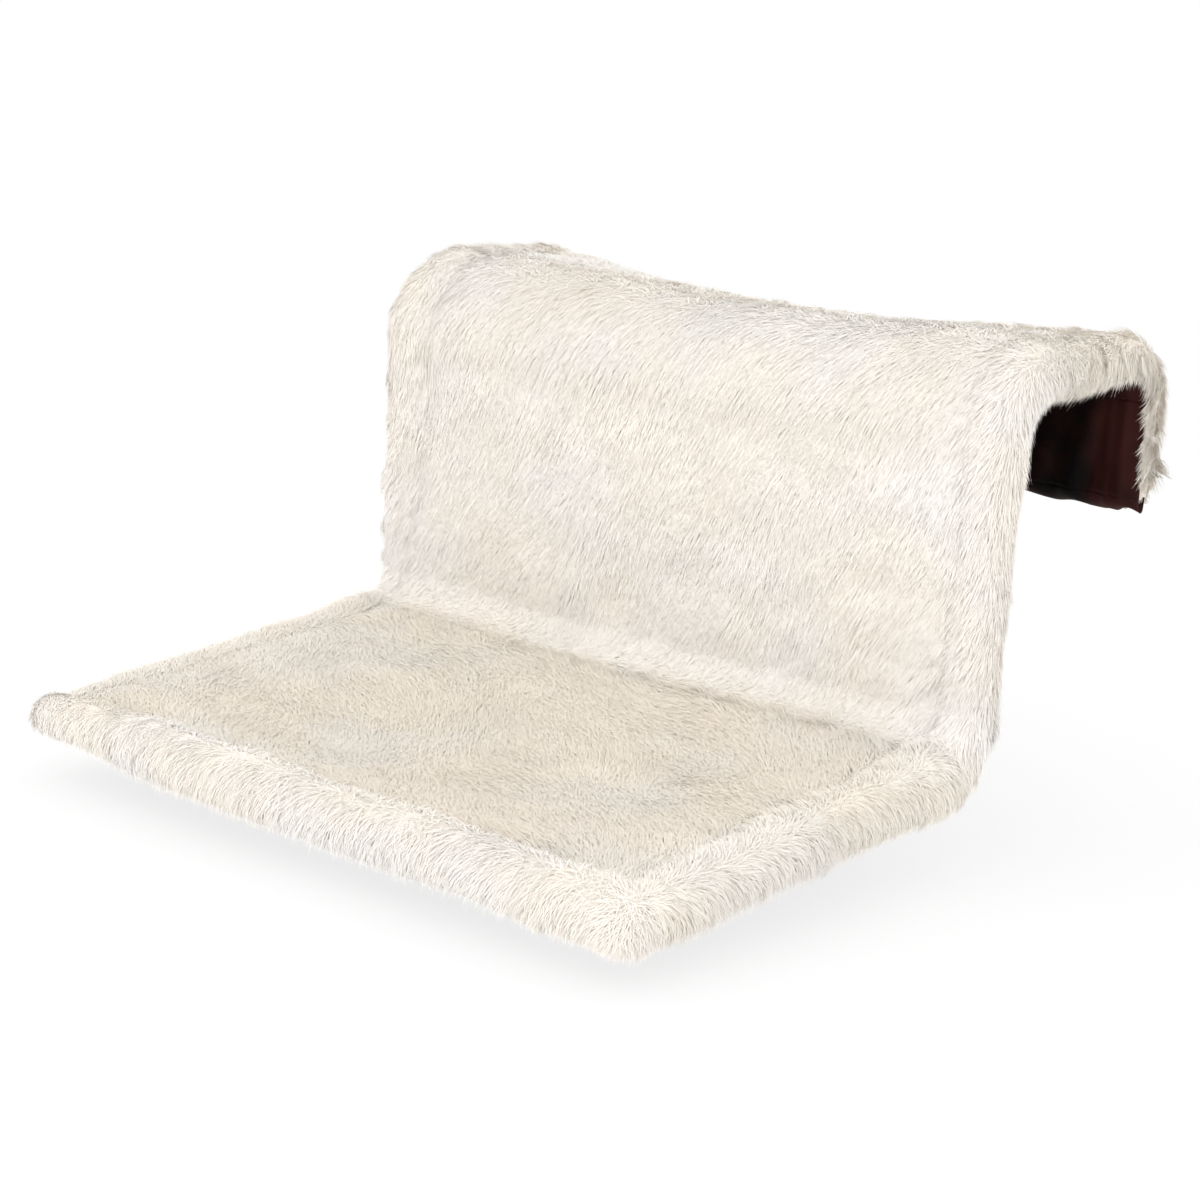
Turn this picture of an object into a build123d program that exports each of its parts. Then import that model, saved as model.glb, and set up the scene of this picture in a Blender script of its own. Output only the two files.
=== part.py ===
from build123d import *
from math import cos, radians, sin, sqrt, tan
import os

# Radiator cat bed. Millimetres, +X to the right, -Y to the front, +Z up.
# The origin lies on the underside of the hook, where it rests on top of the radiator.

# Driving dimensions: the bent side tubes, measured between centre lines
frame_width = 408.0
seat_depth = 272.0
back_height = 206.0
hook_reach = 138.0
leg_drop = 75.0
upright_setback = 50.0
seat_slope = 5.5

# Bend radii where seat meets back, at the top of the back and at the rear of the hook
seat_bend = 38.0
brow_bend = 38.0
heel_bend = 22.0

# Steel tube
tube_radius = 6.0
tube_wall = 1.0
bar_overhang = 6.0

# Places of the cross bars, from the bend that each one is next to
corner_bar_back = 8.0
top_bar_down = 24.0
hook_bar_up = 20.0

# Plush rolls round the tubes
roll_radius = 13.5
hook_roll_radius = 12.5
front_roll_radius = 14.5
roll_skin = 3.0
knob_pad = 3.0
knob_round = 11.0
foot_pad = 4.0
foot_round = 7.0
rest_flat = 0.5

# Cloth layers, as heights off the tubes' plane towards the plush side
plush_low = 8.6
plush_high = 12.0
wadding_low = 6.3
wadding_high = 8.3
lining_thick = 0.8

# Sag of the seat and of the hook's rear edge, crown of the back
seat_sag = 18.0
lining_sag = 10.0
back_crown = 5.0
hook_sag = 14.0
place_shares = (-1.0, -0.6, 0.0, 0.6, 1.0)
dip_shares = (0.05, 0.7, 1.0, 0.7, 0.05)

# Where the panels of the cover meet
corner_lap = 14.0
corner_rise = 12.0
hook_lap = 6.0
flap_start = 24.0
flap_past_tube = 1.0
hem_drop = 11.0
fold_count = 7
fold_depth = 2.5
fold_top_depth = 0.4

# Fasteners of the frame
saddle_length = 3.0
insert_length = 18.0
screw_radius = 2.5
screw_bite = 12.0
screw_way = 0.15
head_radius = 4.75
head_height = 2.75
head_round = 2.0
socket_radius = 1.75
socket_depth = 1.6
washer_radius = 5.5
washer_thick = 1.0
foot_plug = 9.0
bar_plug = 2.7
cap_flange = 1.5
cap_round = 0.9

# Zip under the front of the seat
zip_back = 42.0
zip_margin = 12.5
tape_width = 12.0
row_gap = 1.3
row_width = 1.8
row_height = 2.2
stop_length = 2.0
stop_height = 2.8
slider_length = 9.0
slider_plate = 1.0
slider_flange = 0.9
slider_shoulder = 0.8
slider_corner = 0.8
post_length = 3.0
end_gap = 0.5
bridge_span = 7.0
bridge_height = 3.0
bridge_thick = 0.9
bridge_width = 1.4
pull_pin_radius = 0.6
pull_drop = 1.1
pull_length = 16.0
pull_top_width = 5.0
pull_width = 6.5
pull_thick = 1.0
pull_window = 4.7
pull_side_gap = 0.4
pull_corner = 1.5

# Clearances: cloth to its neighbours, metal to the metal it sits on, and the zip's running gap
soft_gap = 0.3
sleeve_gap = 0.5
seat_gap = 0.03
slide_gap = 0.3
overrun = 2.0

# Heights and headings that follow from the sizes above
arm_height = hook_roll_radius - rest_flat
lining_face = arm_height
slope = radians(seat_slope)
side_x = frame_width / 2
zip_half = side_x - roll_radius - zip_margin
run_names = ("seat", "upright", "arm", "leg")

# Bend at the end of each run, positive where the line turns towards the plush side
bend_radii = {"seat": seat_bend, "upright": -brow_bend, "arm": -heel_bend}


class Rail:
    """Line of seat, upright, arm and leg: four straight runs joined by three bends."""

    def __init__(self, heel_dip=0):
        """A rail that cloth hangs on between the side tubes dips at the heel of the hook."""
        seat_corner = Vector(0, -upright_setback, arm_height - back_height)
        brow_corner = Vector(0, -upright_setback, arm_height)
        heel_corner = Vector(0, hook_reach - upright_setback, arm_height - heel_dip)
        foot = Vector(0, hook_reach - upright_setback, arm_height - leg_drop)
        front = seat_corner - Vector(0, cos(slope), sin(slope)) * seat_depth
        knots = (front, seat_corner, brow_corner, heel_corner, foot)
        self.headings = {}
        self.normals = {}
        self.starts = {}
        self.lengths = {}
        for name, knot, following in zip(run_names, knots, knots[1:]):
            heading = (following - knot).normalized()
            self.headings[name] = heading
            self.normals[name] = Vector(0, -heading.Z, heading.Y)
        setback = 0
        for name, knot, following in zip(run_names, knots, knots[1:]):
            ahead = self.bend_setback(name) if name in bend_radii else 0
            self.starts[name] = knot + self.headings[name] * setback
            self.lengths[name] = (following - knot).length - setback - ahead
            setback = ahead

    def next_run(self, name):
        """Name of the run after the one named."""
        return run_names[run_names.index(name) + 1]

    def bend_setback(self, name):
        """Length of a straight run that the bend at its end takes up."""
        turn = radians(self.headings[name].get_angle(self.headings[self.next_run(name)]))
        return abs(bend_radii[name]) * tan(turn / 2)

    def beside(self, station, off):
        """Point off from the line towards the plush side, at a run and a distance along that run."""
        name, along = station
        return self.starts[name] + self.headings[name] * along + self.normals[name] * off

    def bend_edge(self, name, off):
        """Arc of the bend at the end of a run, off from the line."""
        radius = bend_radii[name]
        centre = self.beside((name, self.lengths[name]), radius)
        before = self.normals[name]
        after = self.normals[self.next_run(name)]
        spokes = (before, (before + after).normalized(), after)
        return Edge.make_three_point_arc(*[centre - spoke * (radius - off) for spoke in spokes])

    def route(self, start, stop, off=0):
        """Lines and arcs from one station to another, off from the line."""
        edges = []
        first, last = run_names.index(start[0]), run_names.index(stop[0])
        for name in run_names[first:last + 1]:
            low = start[1] if name == start[0] else 0
            high = stop[1] if name == stop[0] else self.lengths[name]
            edges.append(Edge.make_line(self.beside((name, low), off), self.beside((name, high), off)))
            if name != stop[0]:
                edges.append(self.bend_edge(name, off))
        return edges

    def bar(self, start, stop, radius):
        """Solid round bar along the line."""
        section = Plane(origin=self.beside(start, 0), z_dir=self.headings[start[0]]) * Circle(radius)
        return sweep(section, path=Wire(self.route(start, stop)))


rail = Rail()
beside = rail.beside

# Stations along the side tubes, as a run and a distance along that run
front_line = ("seat", 0)
front_end = ("seat", tube_radius + saddle_length)
seat_join = ("seat", rail.lengths["seat"] - corner_lap)
back_join = ("upright", corner_rise)
hook_join = ("upright", rail.lengths["upright"] - hook_lap)
flap_join = ("leg", flap_start)
leg_end = ("leg", rail.lengths["leg"])
flap_end = ("leg", rail.lengths["leg"] + flap_past_tube)


def shifted(station, distance):
    """The station a distance further along the same run."""
    return (station[0], station[1] + distance)


def closed_face(under, over):
    """Face between two open chains of edges that run the same way."""
    first = Edge.make_line(over[0] @ 0, under[0] @ 0)
    last = Edge.make_line(under[-1] @ 1, over[-1] @ 1)
    return Face(Wire([*under, last, *over, first]))


def panel_half(radius, off):
    """Half width of a panel that meets the shoulders of the side rolls off from the tubes' plane."""
    return side_x - sqrt(radius**2 - off**2) - soft_gap


def layer(start, stop, low, high, half_width):
    """Cloth that follows the side tubes, of even thickness, across the bed."""
    face = closed_face(rail.route(start, stop, low), rail.route(start, stop, high))
    return extrude(face, amount=half_width, dir=(1, 0, 0), both=True)


def hung_layer(start, stop, low, high, dip, half_width):
    """Cloth that hangs between its edges, deepest at the middle of the panel."""
    middle = (start[0], (start[1] + stop[1]) / 2)
    sections = []
    for place, share in zip(place_shares, dip_shares):
        chains = []
        for off in (low, high):
            points = (beside(start, off), beside(middle, off - dip * share), beside(stop, off))
            chains.append([Edge.make_three_point_arc(*points)])
        sections.append(Pos(half_width * place, 0, 0) * closed_face(*chains))
    return loft(sections)


def saddle_layer(start, stop, low, high, dip, half_width):
    """Cloth over the hook that dips at the heel between the side tubes, with level upper and lower edges."""
    stop_height = beside(stop, 0).Z
    sections = []
    for place, share in zip(place_shares, dip_shares):
        dipped = Rail(dip * share)
        last = (stop[0], dipped.starts[stop[0]].Z - stop_height)
        chains = [dipped.route(start, last, off) for off in (low, high)]
        sections.append(Pos(half_width * place, 0, 0) * closed_face(*chains))
    return loft(sections)


def rod(radius, start, stop):
    """Round bar along X between two places."""
    return extrude(Plane.YZ.offset(start) * Circle(radius), amount=stop - start)


def crossing_tube(radius, length):
    """Bar along Y through the origin."""
    return Rot(90, 0, 0) * Cylinder(radius, length)


bar_stations = {
    "corner_bar": ("seat", rail.lengths["seat"] - corner_bar_back),
    "top_bar": ("upright", rail.lengths["upright"] - top_bar_down),
    "hook_bar": ("leg", rail.lengths["leg"] - hook_bar_up),
}
tube_face = tube_radius + saddle_length
tube_bore = tube_radius - tube_wall


def rail_joint(side):
    """Where a side tube ends at the front bar. X is the screw's way out, Y runs along the bar."""
    centre = beside(front_line, 0) + Vector(side * side_x, 0, 0)
    return Plane(origin=centre, x_dir=-rail.headings["seat"], z_dir=rail.normals["seat"])


def bar_joint(side, station):
    """Where a cross bar ends at a side tube. X is the screw's way out, Y runs along the side tube."""
    out = Vector(side, 0, 0)
    centre = beside(station, 0) + out * side_x
    return Plane(origin=centre, x_dir=out, z_dir=out.cross(rail.headings[station[0]]))


rail_joints = [rail_joint(side) for side in (-1, 1)]
bar_joints = [bar_joint(side, station) for side in (-1, 1) for station in bar_stations.values()]


def at_joints(shape, planes=(*rail_joints, *bar_joints)):
    """Copies of a shape at the bolted joints."""
    return [plane * shape for plane in planes]


def saddle():
    """Spacer between a tube's end and the round side of the tube that it meets."""
    block = rod(tube_radius, -tube_face + seat_gap, 0)
    return block - crossing_tube(tube_radius + seat_gap, 4 * tube_radius) - screw_hole()


def screw_hole():
    """Clearance hole through a joint."""
    return rod(screw_radius + screw_way, -tube_face - insert_length, 2 * tube_radius)


def washer():
    """Curved washer under a screw's head."""
    disc = rod(washer_radius, 0, tube_radius + washer_thick)
    return disc - crossing_tube(tube_radius + seat_gap, 4 * tube_radius) - screw_hole()


def insert():
    """Threaded plug inside a tube's end."""
    body = rod(tube_bore - seat_gap, -tube_face - insert_length, -tube_face)
    return body - rod(screw_radius + seat_gap, -tube_face - insert_length - overrun, 0)


def screw():
    """Button-head screw with a hexagon socket."""
    seat = tube_radius + washer_thick + seat_gap
    head = rod(head_radius, seat, seat + head_height)
    head = fillet(head.edges().sort_by(Axis.X)[-1], head_round)
    socket = Plane.YZ.offset(seat + head_height - socket_depth) * RegularPolygon(socket_radius, 6)
    shank = rod(screw_radius, -tube_face - screw_bite, seat)
    return head + shank - extrude(socket, amount=socket_depth + overrun)


def end_cap(plug):
    """Plug with a rounded flange that closes an open tube end, pointing along X."""
    body = rod(tube_bore - seat_gap, -plug, cap_flange) + rod(tube_radius, seat_gap, cap_flange)
    return fillet(body.edges().sort_by(Axis.X)[-1], cap_round)


def bare_tube(start, stop):
    """Straight tube along X."""
    return rod(tube_radius, start, stop) - rod(tube_bore, start - overrun, stop + overrun)


def side_tube(side):
    """Bent tube of seat, upright, arm and leg, with its screw holes."""
    tube = rail.bar(front_end, leg_end, tube_radius) - rail.bar(front_end, leg_end, tube_bore)
    tube = Pos(side * side_x, 0, 0) * tube
    return tube - at_joints(rod(screw_radius + screw_way, -tube_radius - overrun, tube_radius + overrun))


def cross_bars():
    """Front bar and the three bars between the side tubes."""
    front_half = side_x + bar_overhang
    front = Pos(beside(front_line, 0)) * bare_tube(-front_half, front_half)
    front -= at_joints(rod(screw_radius + screw_way, -tube_radius - overrun, tube_radius + overrun))
    bars = {"front_bar": front}
    inner_half = side_x - tube_face
    for name, station in bar_stations.items():
        bars[name] = Pos(beside(station, 0)) * bare_tube(-inner_half, inner_half)
    return bars


def caps():
    """End caps of the front bar and end plugs of the rear legs."""
    bar_end = side_x + bar_overhang
    bar_caps = []
    rail_plugs = []
    for side in (-1, 1):
        end = beside(front_line, 0) + Vector(side * bar_end, 0, 0)
        bar_caps.append(Plane(origin=end, x_dir=(side, 0, 0), z_dir=(0, 0, 1)) * end_cap(bar_plug))
        foot = beside(leg_end, 0) + Vector(side * side_x, 0, 0)
        downward = Plane(origin=foot, x_dir=rail.headings["leg"], z_dir=(0, 1, 0))
        rail_plugs.append(downward * end_cap(foot_plug))
    return bar_caps, rail_plugs


def joint_pockets():
    """Room in a roll for the screw's head on one side and the bar that comes in on the other."""
    head_room = rod(washer_radius + soft_gap, 0, tube_radius + washer_thick + head_height + 2 * soft_gap)
    bar_room = rod(tube_radius + soft_gap, -front_roll_radius - overrun, 0)
    return at_joints(head_room + bar_room)


def roll(start, stop, radius):
    """Plush roll round the side tube's route, in the middle plane."""
    return rail.bar(start, stop, radius) - rail.bar(start, stop, radius - roll_skin)


def front_roll_room():
    """Space that the front roll takes from everything that ends at it."""
    reach = side_x + front_roll_radius * 2
    return Pos(beside(front_line, 0)) * rod(front_roll_radius + soft_gap, -reach, reach)


def side_rolls(side):
    """Seat, back and hook rolls of one side."""
    seat = roll(front_line, seat_join, roll_radius) - front_roll_room()
    back = roll(shifted(seat_join, soft_gap), hook_join, roll_radius)
    hook_start = shifted(hook_join, soft_gap)
    bore_end = shifted(leg_end, cap_flange + soft_gap)
    hook = rail.bar(hook_start, shifted(bore_end, foot_pad), hook_roll_radius)
    hook = fillet(hook.edges().sort_by(Axis.Z)[0], foot_round)
    hook -= rail.bar(hook_start, bore_end, hook_roll_radius - roll_skin)
    arm_start = beside(("arm", 0), 0)
    arm_middle = Vector(0, arm_start.Y + rail.lengths["arm"] / 2, -overrun / 2)
    hook -= Pos(arm_middle) * Box(4 * hook_roll_radius, rail.lengths["arm"], overrun)
    rolls = {"seat_roll": seat, "back_roll": back, "hook_roll": hook}
    return {name: Pos(side * side_x, 0, 0) * solid - joint_pockets() for name, solid in rolls.items()}


def side_padding(side):
    """Soft sleeve on the side tube, inside the rolls."""
    thin = hook_roll_radius - roll_skin - soft_gap
    sleeve = rail.bar(front_end, leg_end, thin) - rail.bar(front_end, leg_end, tube_radius + sleeve_gap)
    return Pos(side * side_x, 0, 0) * sleeve - front_roll_room() - joint_pockets()


def front_roll_and_padding():
    """Roll across the front, with knob-like ends past the side rolls, and the sleeve inside it."""
    cavity_half = side_x + bar_overhang + cap_flange + soft_gap
    outer_half = cavity_half + knob_pad
    skin = rod(front_roll_radius, -outer_half, outer_half)
    skin = fillet(skin.edges().filter_by(GeomType.CIRCLE), knob_round)
    cavity = front_roll_radius - roll_skin
    skin -= rod(cavity, -cavity_half, cavity_half)
    pad_half = side_x + bar_overhang
    padding = rod(cavity - soft_gap, -pad_half, pad_half)
    padding -= rod(tube_radius + sleeve_gap, -cavity_half, cavity_half)
    place = Pos(beside(front_line, 0))
    return place * skin - joint_pockets(), place * padding - joint_pockets()


def plush_panels():
    """Plush from the front roll, over seat, back and hook, and down behind the radiator."""
    half = panel_half(roll_radius, plush_low)
    seat_half = panel_half(roll_radius, plush_low - seat_sag * dip_shares[0])
    hook_half = panel_half(hook_roll_radius, plush_low - hook_sag * dip_shares[0])
    seat = hung_layer(front_line, seat_join, plush_low, plush_high, seat_sag, seat_half)
    back_start = shifted(back_join, soft_gap)
    hook_start = shifted(hook_join, soft_gap)
    return {
        "seat_plush": seat - front_roll_room(),
        "corner_plush": layer(shifted(seat_join, soft_gap), back_join, plush_low, plush_high, half),
        "back_plush": hung_layer(back_start, hook_join, plush_low, plush_high, -back_crown, half),
        "hook_plush": saddle_layer(hook_start, flap_join, plush_low, plush_high, hook_sag, hook_half),
        "flap_plush": layer(shifted(flap_join, soft_gap), flap_end, plush_low, plush_high, hook_half),
    }


def wadding_panels():
    """Padding under the plush of seat and back."""
    half = panel_half(roll_radius, wadding_low)
    seat_half = panel_half(roll_radius, wadding_low - seat_sag * dip_shares[0])
    seat = hung_layer(front_line, seat_join, wadding_low, wadding_high, seat_sag, seat_half)
    back_start = shifted(back_join, soft_gap)
    back = hung_layer(back_start, hook_join, wadding_low, wadding_high, -back_crown, half)
    return {"seat_wadding": seat - front_roll_room(), "back_wadding": back}


def lining_panels():
    """Lining towards the radiator and under the seat, with the zip's gap near the front."""
    low = -lining_face
    high = lining_thick - lining_face
    half = panel_half(roll_radius, high)
    hook_half = panel_half(hook_roll_radius, high)
    front_stop = ("seat", zip_back - zip_reach - soft_gap)
    seat_start = ("seat", zip_back + zip_reach + soft_gap)
    return {
        "front_lining": layer(front_line, front_stop, low, high, half) - front_roll_room(),
        "seat_lining": hung_layer(seat_start, seat_join, low, high, lining_sag, half),
        "corner_lining": layer(shifted(seat_join, soft_gap), back_join, low, high, half),
        "back_lining": layer(shifted(back_join, soft_gap), hook_join, low, high, half),
        "hook_lining": layer(shifted(hook_join, soft_gap), flap_join, low, high, hook_half),
        "flap_lining": folded_flap(low, high),
    }


def fold_chain(station, off, depth, half_width):
    """Row of arcs across the flap that bulge to one side and the other in turn."""
    pitch = 2 * half_width / (2 * fold_count)
    edges = []
    for fold in range(2 * fold_count):
        left = fold * pitch - half_width
        bulge = depth if fold % 2 else -depth
        points = (
            beside(station, off) + Vector(left, 0, 0),
            beside(station, off + bulge) + Vector(left + pitch / 2, 0, 0),
            beside(station, off) + Vector(left + pitch, 0, 0),
        )
        edges.append(Edge.make_three_point_arc(*points))
    return edges


def folded_flap(low, high):
    """Lining that hangs behind the radiator in upright folds, deeper towards the hem."""
    half_width = panel_half(hook_roll_radius, high + fold_depth)
    sections = []
    for station, depth in ((shifted(flap_join, soft_gap), fold_top_depth), (flap_end, fold_depth)):
        chains = [fold_chain(station, off, depth, half_width) for off in (low, high)]
        sections.append(closed_face(*chains))
    return loft(sections)


def flap_hem():
    """Lining that turns under the lower edge of the flap and up to the plush."""
    start = shifted(flap_end, soft_gap)
    middle_off = (plush_high - lining_face) / 2
    chains = []
    for inset in (0, lining_thick):
        points = (
            beside(start, inset - lining_face),
            beside(shifted(start, hem_drop - inset), middle_off),
            beside(start, plush_high - inset),
        )
        chains.append([Edge.make_three_point_arc(*points)])
    half_width = panel_half(hook_roll_radius, 0)
    return extrude(closed_face(*chains), amount=half_width, dir=(1, 0, 0), both=True)


row_outer = row_gap / 2 + row_width
zip_reach = row_outer + seat_gap + tape_width
zip_plane = Plane(
    origin=beside(("seat", zip_back), lining_thick / 2 - lining_face),
    x_dir=(1, 0, 0),
    z_dir=rail.normals["seat"],
)
slider_x = zip_half - end_gap - slider_length / 2


def block(size, centre):
    """Rectangular block round a centre."""
    return Pos(*centre) * Box(*size)


def zip_tapes():
    """Two woven tapes and the rows that are sewn along their edges."""
    half = panel_half(roll_radius, lining_face - lining_thick)
    tape = Box(2 * half, tape_width, lining_thick)
    tape_centre = row_outer + seat_gap + tape_width / 2
    row_centre = row_gap / 2 + row_width / 2
    pieces = {}
    for name, side in (("front", -1), ("rear", 1)):
        pieces["zip_tape_" + name] = zip_plane * Pos(0, side * tape_centre, 0) * tape
        row = block((2 * zip_half, row_width, row_height), (0, side * row_centre, 0))
        row = fillet(row.edges().filter_by(Axis.X), row_width / 3)
        pieces["zip_row_" + name] = zip_plane * row
    return pieces


def zip_stops():
    """Metal stops across both rows at the ends of the zip."""
    stops = []
    for side in (-1, 1):
        centre = (side * (zip_half + seat_gap + stop_length / 2), 0, 0)
        stop = block((stop_length, 2 * row_outer, stop_height), centre)
        stops.append(zip_plane * fillet(stop.edges().filter_by(Axis.X), row_width / 3))
    return stops


def zip_slider():
    """Slider: two plates round the rows, joined by the post between them, with flanges and a bridge."""
    inner = row_height / 2 + slide_gap
    flange_in = row_outer + slide_gap
    narrow = flange_in + slider_flange
    wide = narrow + slider_shoulder
    half = slider_length / 2
    outline = Polyline((-half, -narrow), (half, -wide), (half, wide), (-half, narrow), close=True)
    plate = extrude(make_face(outline), amount=slider_plate)
    plate = fillet(plate.edges().filter_by(Axis.Z), slider_corner)
    flange_height = inner - lining_thick / 2 - slide_gap
    flange_z = inner - flange_height / 2
    body = Pos(0, 0, inner) * plate + Pos(0, 0, -inner - slider_plate) * plate
    for level in (-1, 1):
        for side in (-1, 1):
            size = (slider_length - 2 * slider_corner, slider_flange, flange_height)
            body += block(size, (0, side * (flange_in + slider_flange / 2), level * flange_z))
    post_width = row_gap - 2 * slide_gap
    post_x = half - slider_corner - post_length / 2
    body += block((post_length, post_width, 2 * inner + slider_plate), (post_x, 0, 0))
    body += bridge(-inner - slider_plate)
    return zip_plane * Pos(slider_x, 0, 0) * body


def bridge(level):
    """Arch under the slider that holds the pull."""
    arcs = []
    for inset in (0, bridge_thick):
        half = bridge_span / 2 - inset
        drop = bridge_height - inset
        arcs.append([Edge.make_three_point_arc((-half, 0, level), (0, 0, level - drop), (half, 0, level))])
    return extrude(closed_face(*arcs), amount=bridge_width / 2, dir=(0, 1, 0), both=True)


pull_pin_z = -row_height / 2 - slide_gap - slider_plate - pull_drop


def zip_pull():
    """Pull: flat tab with a window round the bridge and a round bar at its top."""
    half_top = pull_top_width / 2
    half_low = pull_width / 2
    corners = ((-half_top, 0), (half_top, 0), (half_low, -pull_length), (-half_low, -pull_length))
    outline = Polyline(*corners, close=True)
    tab = extrude(Plane.YZ * make_face(outline), amount=pull_thick / 2, both=True)
    low_corners = tab.edges().filter_by(Axis.X).sort_by(Axis.Z)[:2]
    tab = fillet(low_corners, pull_corner)
    window_width = bridge_width + 2 * pull_side_gap
    tab -= block((2 * pull_thick, window_width, pull_window), (0, 0, -pull_window / 2))
    tab += crossing_tube(pull_pin_radius, pull_top_width)
    return zip_plane * Pos(slider_x, 0, pull_pin_z) * tab


def write(name, solids):
    """One STEP file for one node, as a group where the node holds more than one solid."""
    shape = Compound(children=solids) if isinstance(solids, list) else solids
    export_step(shape, "parts/" + name + ".step")


bar_caps, rail_plugs = caps()
front_roll, front_padding = front_roll_and_padding()
nodes = {
    "side_tube_left": side_tube(-1),
    "side_tube_right": side_tube(1),
    **cross_bars(),
    "bar_saddles": at_joints(saddle()),
    "bar_inserts": at_joints(insert(), bar_joints),
    "rail_inserts": at_joints(insert(), rail_joints),
    "frame_screws": at_joints(screw()),
    "screw_washers": at_joints(washer()),
    "bar_caps": bar_caps,
    "rail_plugs": rail_plugs,
    "side_padding_left": side_padding(-1),
    "side_padding_right": side_padding(1),
    "front_padding": front_padding,
    "front_roll": front_roll,
    **{name + "_left": solid for name, solid in side_rolls(-1).items()},
    **{name + "_right": solid for name, solid in side_rolls(1).items()},
    **plush_panels(),
    **wadding_panels(),
    **lining_panels(),
    "flap_hem": flap_hem(),
    **zip_tapes(),
    "zip_stops": zip_stops(),
    "zip_slider": zip_slider(),
    "zip_pull": zip_pull(),
}
for name, solids in nodes.items():
    write(name, solids)
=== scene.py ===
from math import atan2, cos, pi, radians, sin, tan

import bpy
import numpy as np
from bpy.props import FloatProperty, FloatVectorProperty, IntProperty, PointerProperty
from mathutils import Matrix, Vector, kdtree, noise


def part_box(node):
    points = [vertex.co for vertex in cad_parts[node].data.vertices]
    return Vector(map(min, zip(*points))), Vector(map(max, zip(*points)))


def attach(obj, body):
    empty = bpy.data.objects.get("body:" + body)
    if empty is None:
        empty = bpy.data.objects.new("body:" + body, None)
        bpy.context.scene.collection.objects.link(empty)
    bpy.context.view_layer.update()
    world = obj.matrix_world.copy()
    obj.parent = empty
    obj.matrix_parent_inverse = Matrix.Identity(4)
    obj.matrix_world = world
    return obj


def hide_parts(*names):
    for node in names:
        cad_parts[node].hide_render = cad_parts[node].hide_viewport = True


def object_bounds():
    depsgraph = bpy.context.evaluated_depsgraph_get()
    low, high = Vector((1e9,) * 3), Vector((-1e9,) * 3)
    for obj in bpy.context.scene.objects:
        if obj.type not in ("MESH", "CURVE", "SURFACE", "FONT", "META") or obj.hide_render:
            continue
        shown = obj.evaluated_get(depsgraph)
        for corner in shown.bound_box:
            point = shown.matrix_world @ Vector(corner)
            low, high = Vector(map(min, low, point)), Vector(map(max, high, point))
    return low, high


bl_info = {
    "name": "Radiator cat bed",
    "version": (1, 0, 0),
    "blender": (4, 5, 0),
    "location": "3D View > Sidebar > Cat bed",
    "description": "Plush cover, pile, lining, zip and frame finish of a cat bed that hangs on a radiator",
    "category": "Object",
}

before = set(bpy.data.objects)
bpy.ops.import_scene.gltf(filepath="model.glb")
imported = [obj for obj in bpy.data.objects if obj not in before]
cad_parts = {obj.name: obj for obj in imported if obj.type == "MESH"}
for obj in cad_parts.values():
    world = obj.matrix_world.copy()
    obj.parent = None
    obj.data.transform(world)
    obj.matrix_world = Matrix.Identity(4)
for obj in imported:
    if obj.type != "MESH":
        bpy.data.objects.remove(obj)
frame_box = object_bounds()
mm = 0.001
bed = "bed"


def middle_of(node):
    """Middle of a node's box."""
    low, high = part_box(node)
    return (low + high) / 2


# Sizes read from the frame
tube_low, tube_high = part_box("side_tube_right")
side_x = (tube_low.x + tube_high.x) / 2
tube_radius = (tube_high.x - tube_low.x) / 2
roll_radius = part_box("back_roll_right")[1].x - side_x
hook_roll_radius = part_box("hook_roll_right")[1].x - side_x
front_centre = middle_of("front_roll")
front_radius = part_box("front_roll")[1].z - front_centre.z
front_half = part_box("front_roll")[1].x
upright_y = middle_of("top_bar").y
leg_y = middle_of("hook_bar").y
lining_off = upright_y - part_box("back_lining")[1].y
zip_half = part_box("zip_row_front")[1].x

# Bend radii of the side tubes, and how far the end plug stands out of a tube
seat_bend = 38 * mm
brow_bend = 38 * mm
heel_bend = 22 * mm
plug_flange = 1.5 * mm


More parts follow.
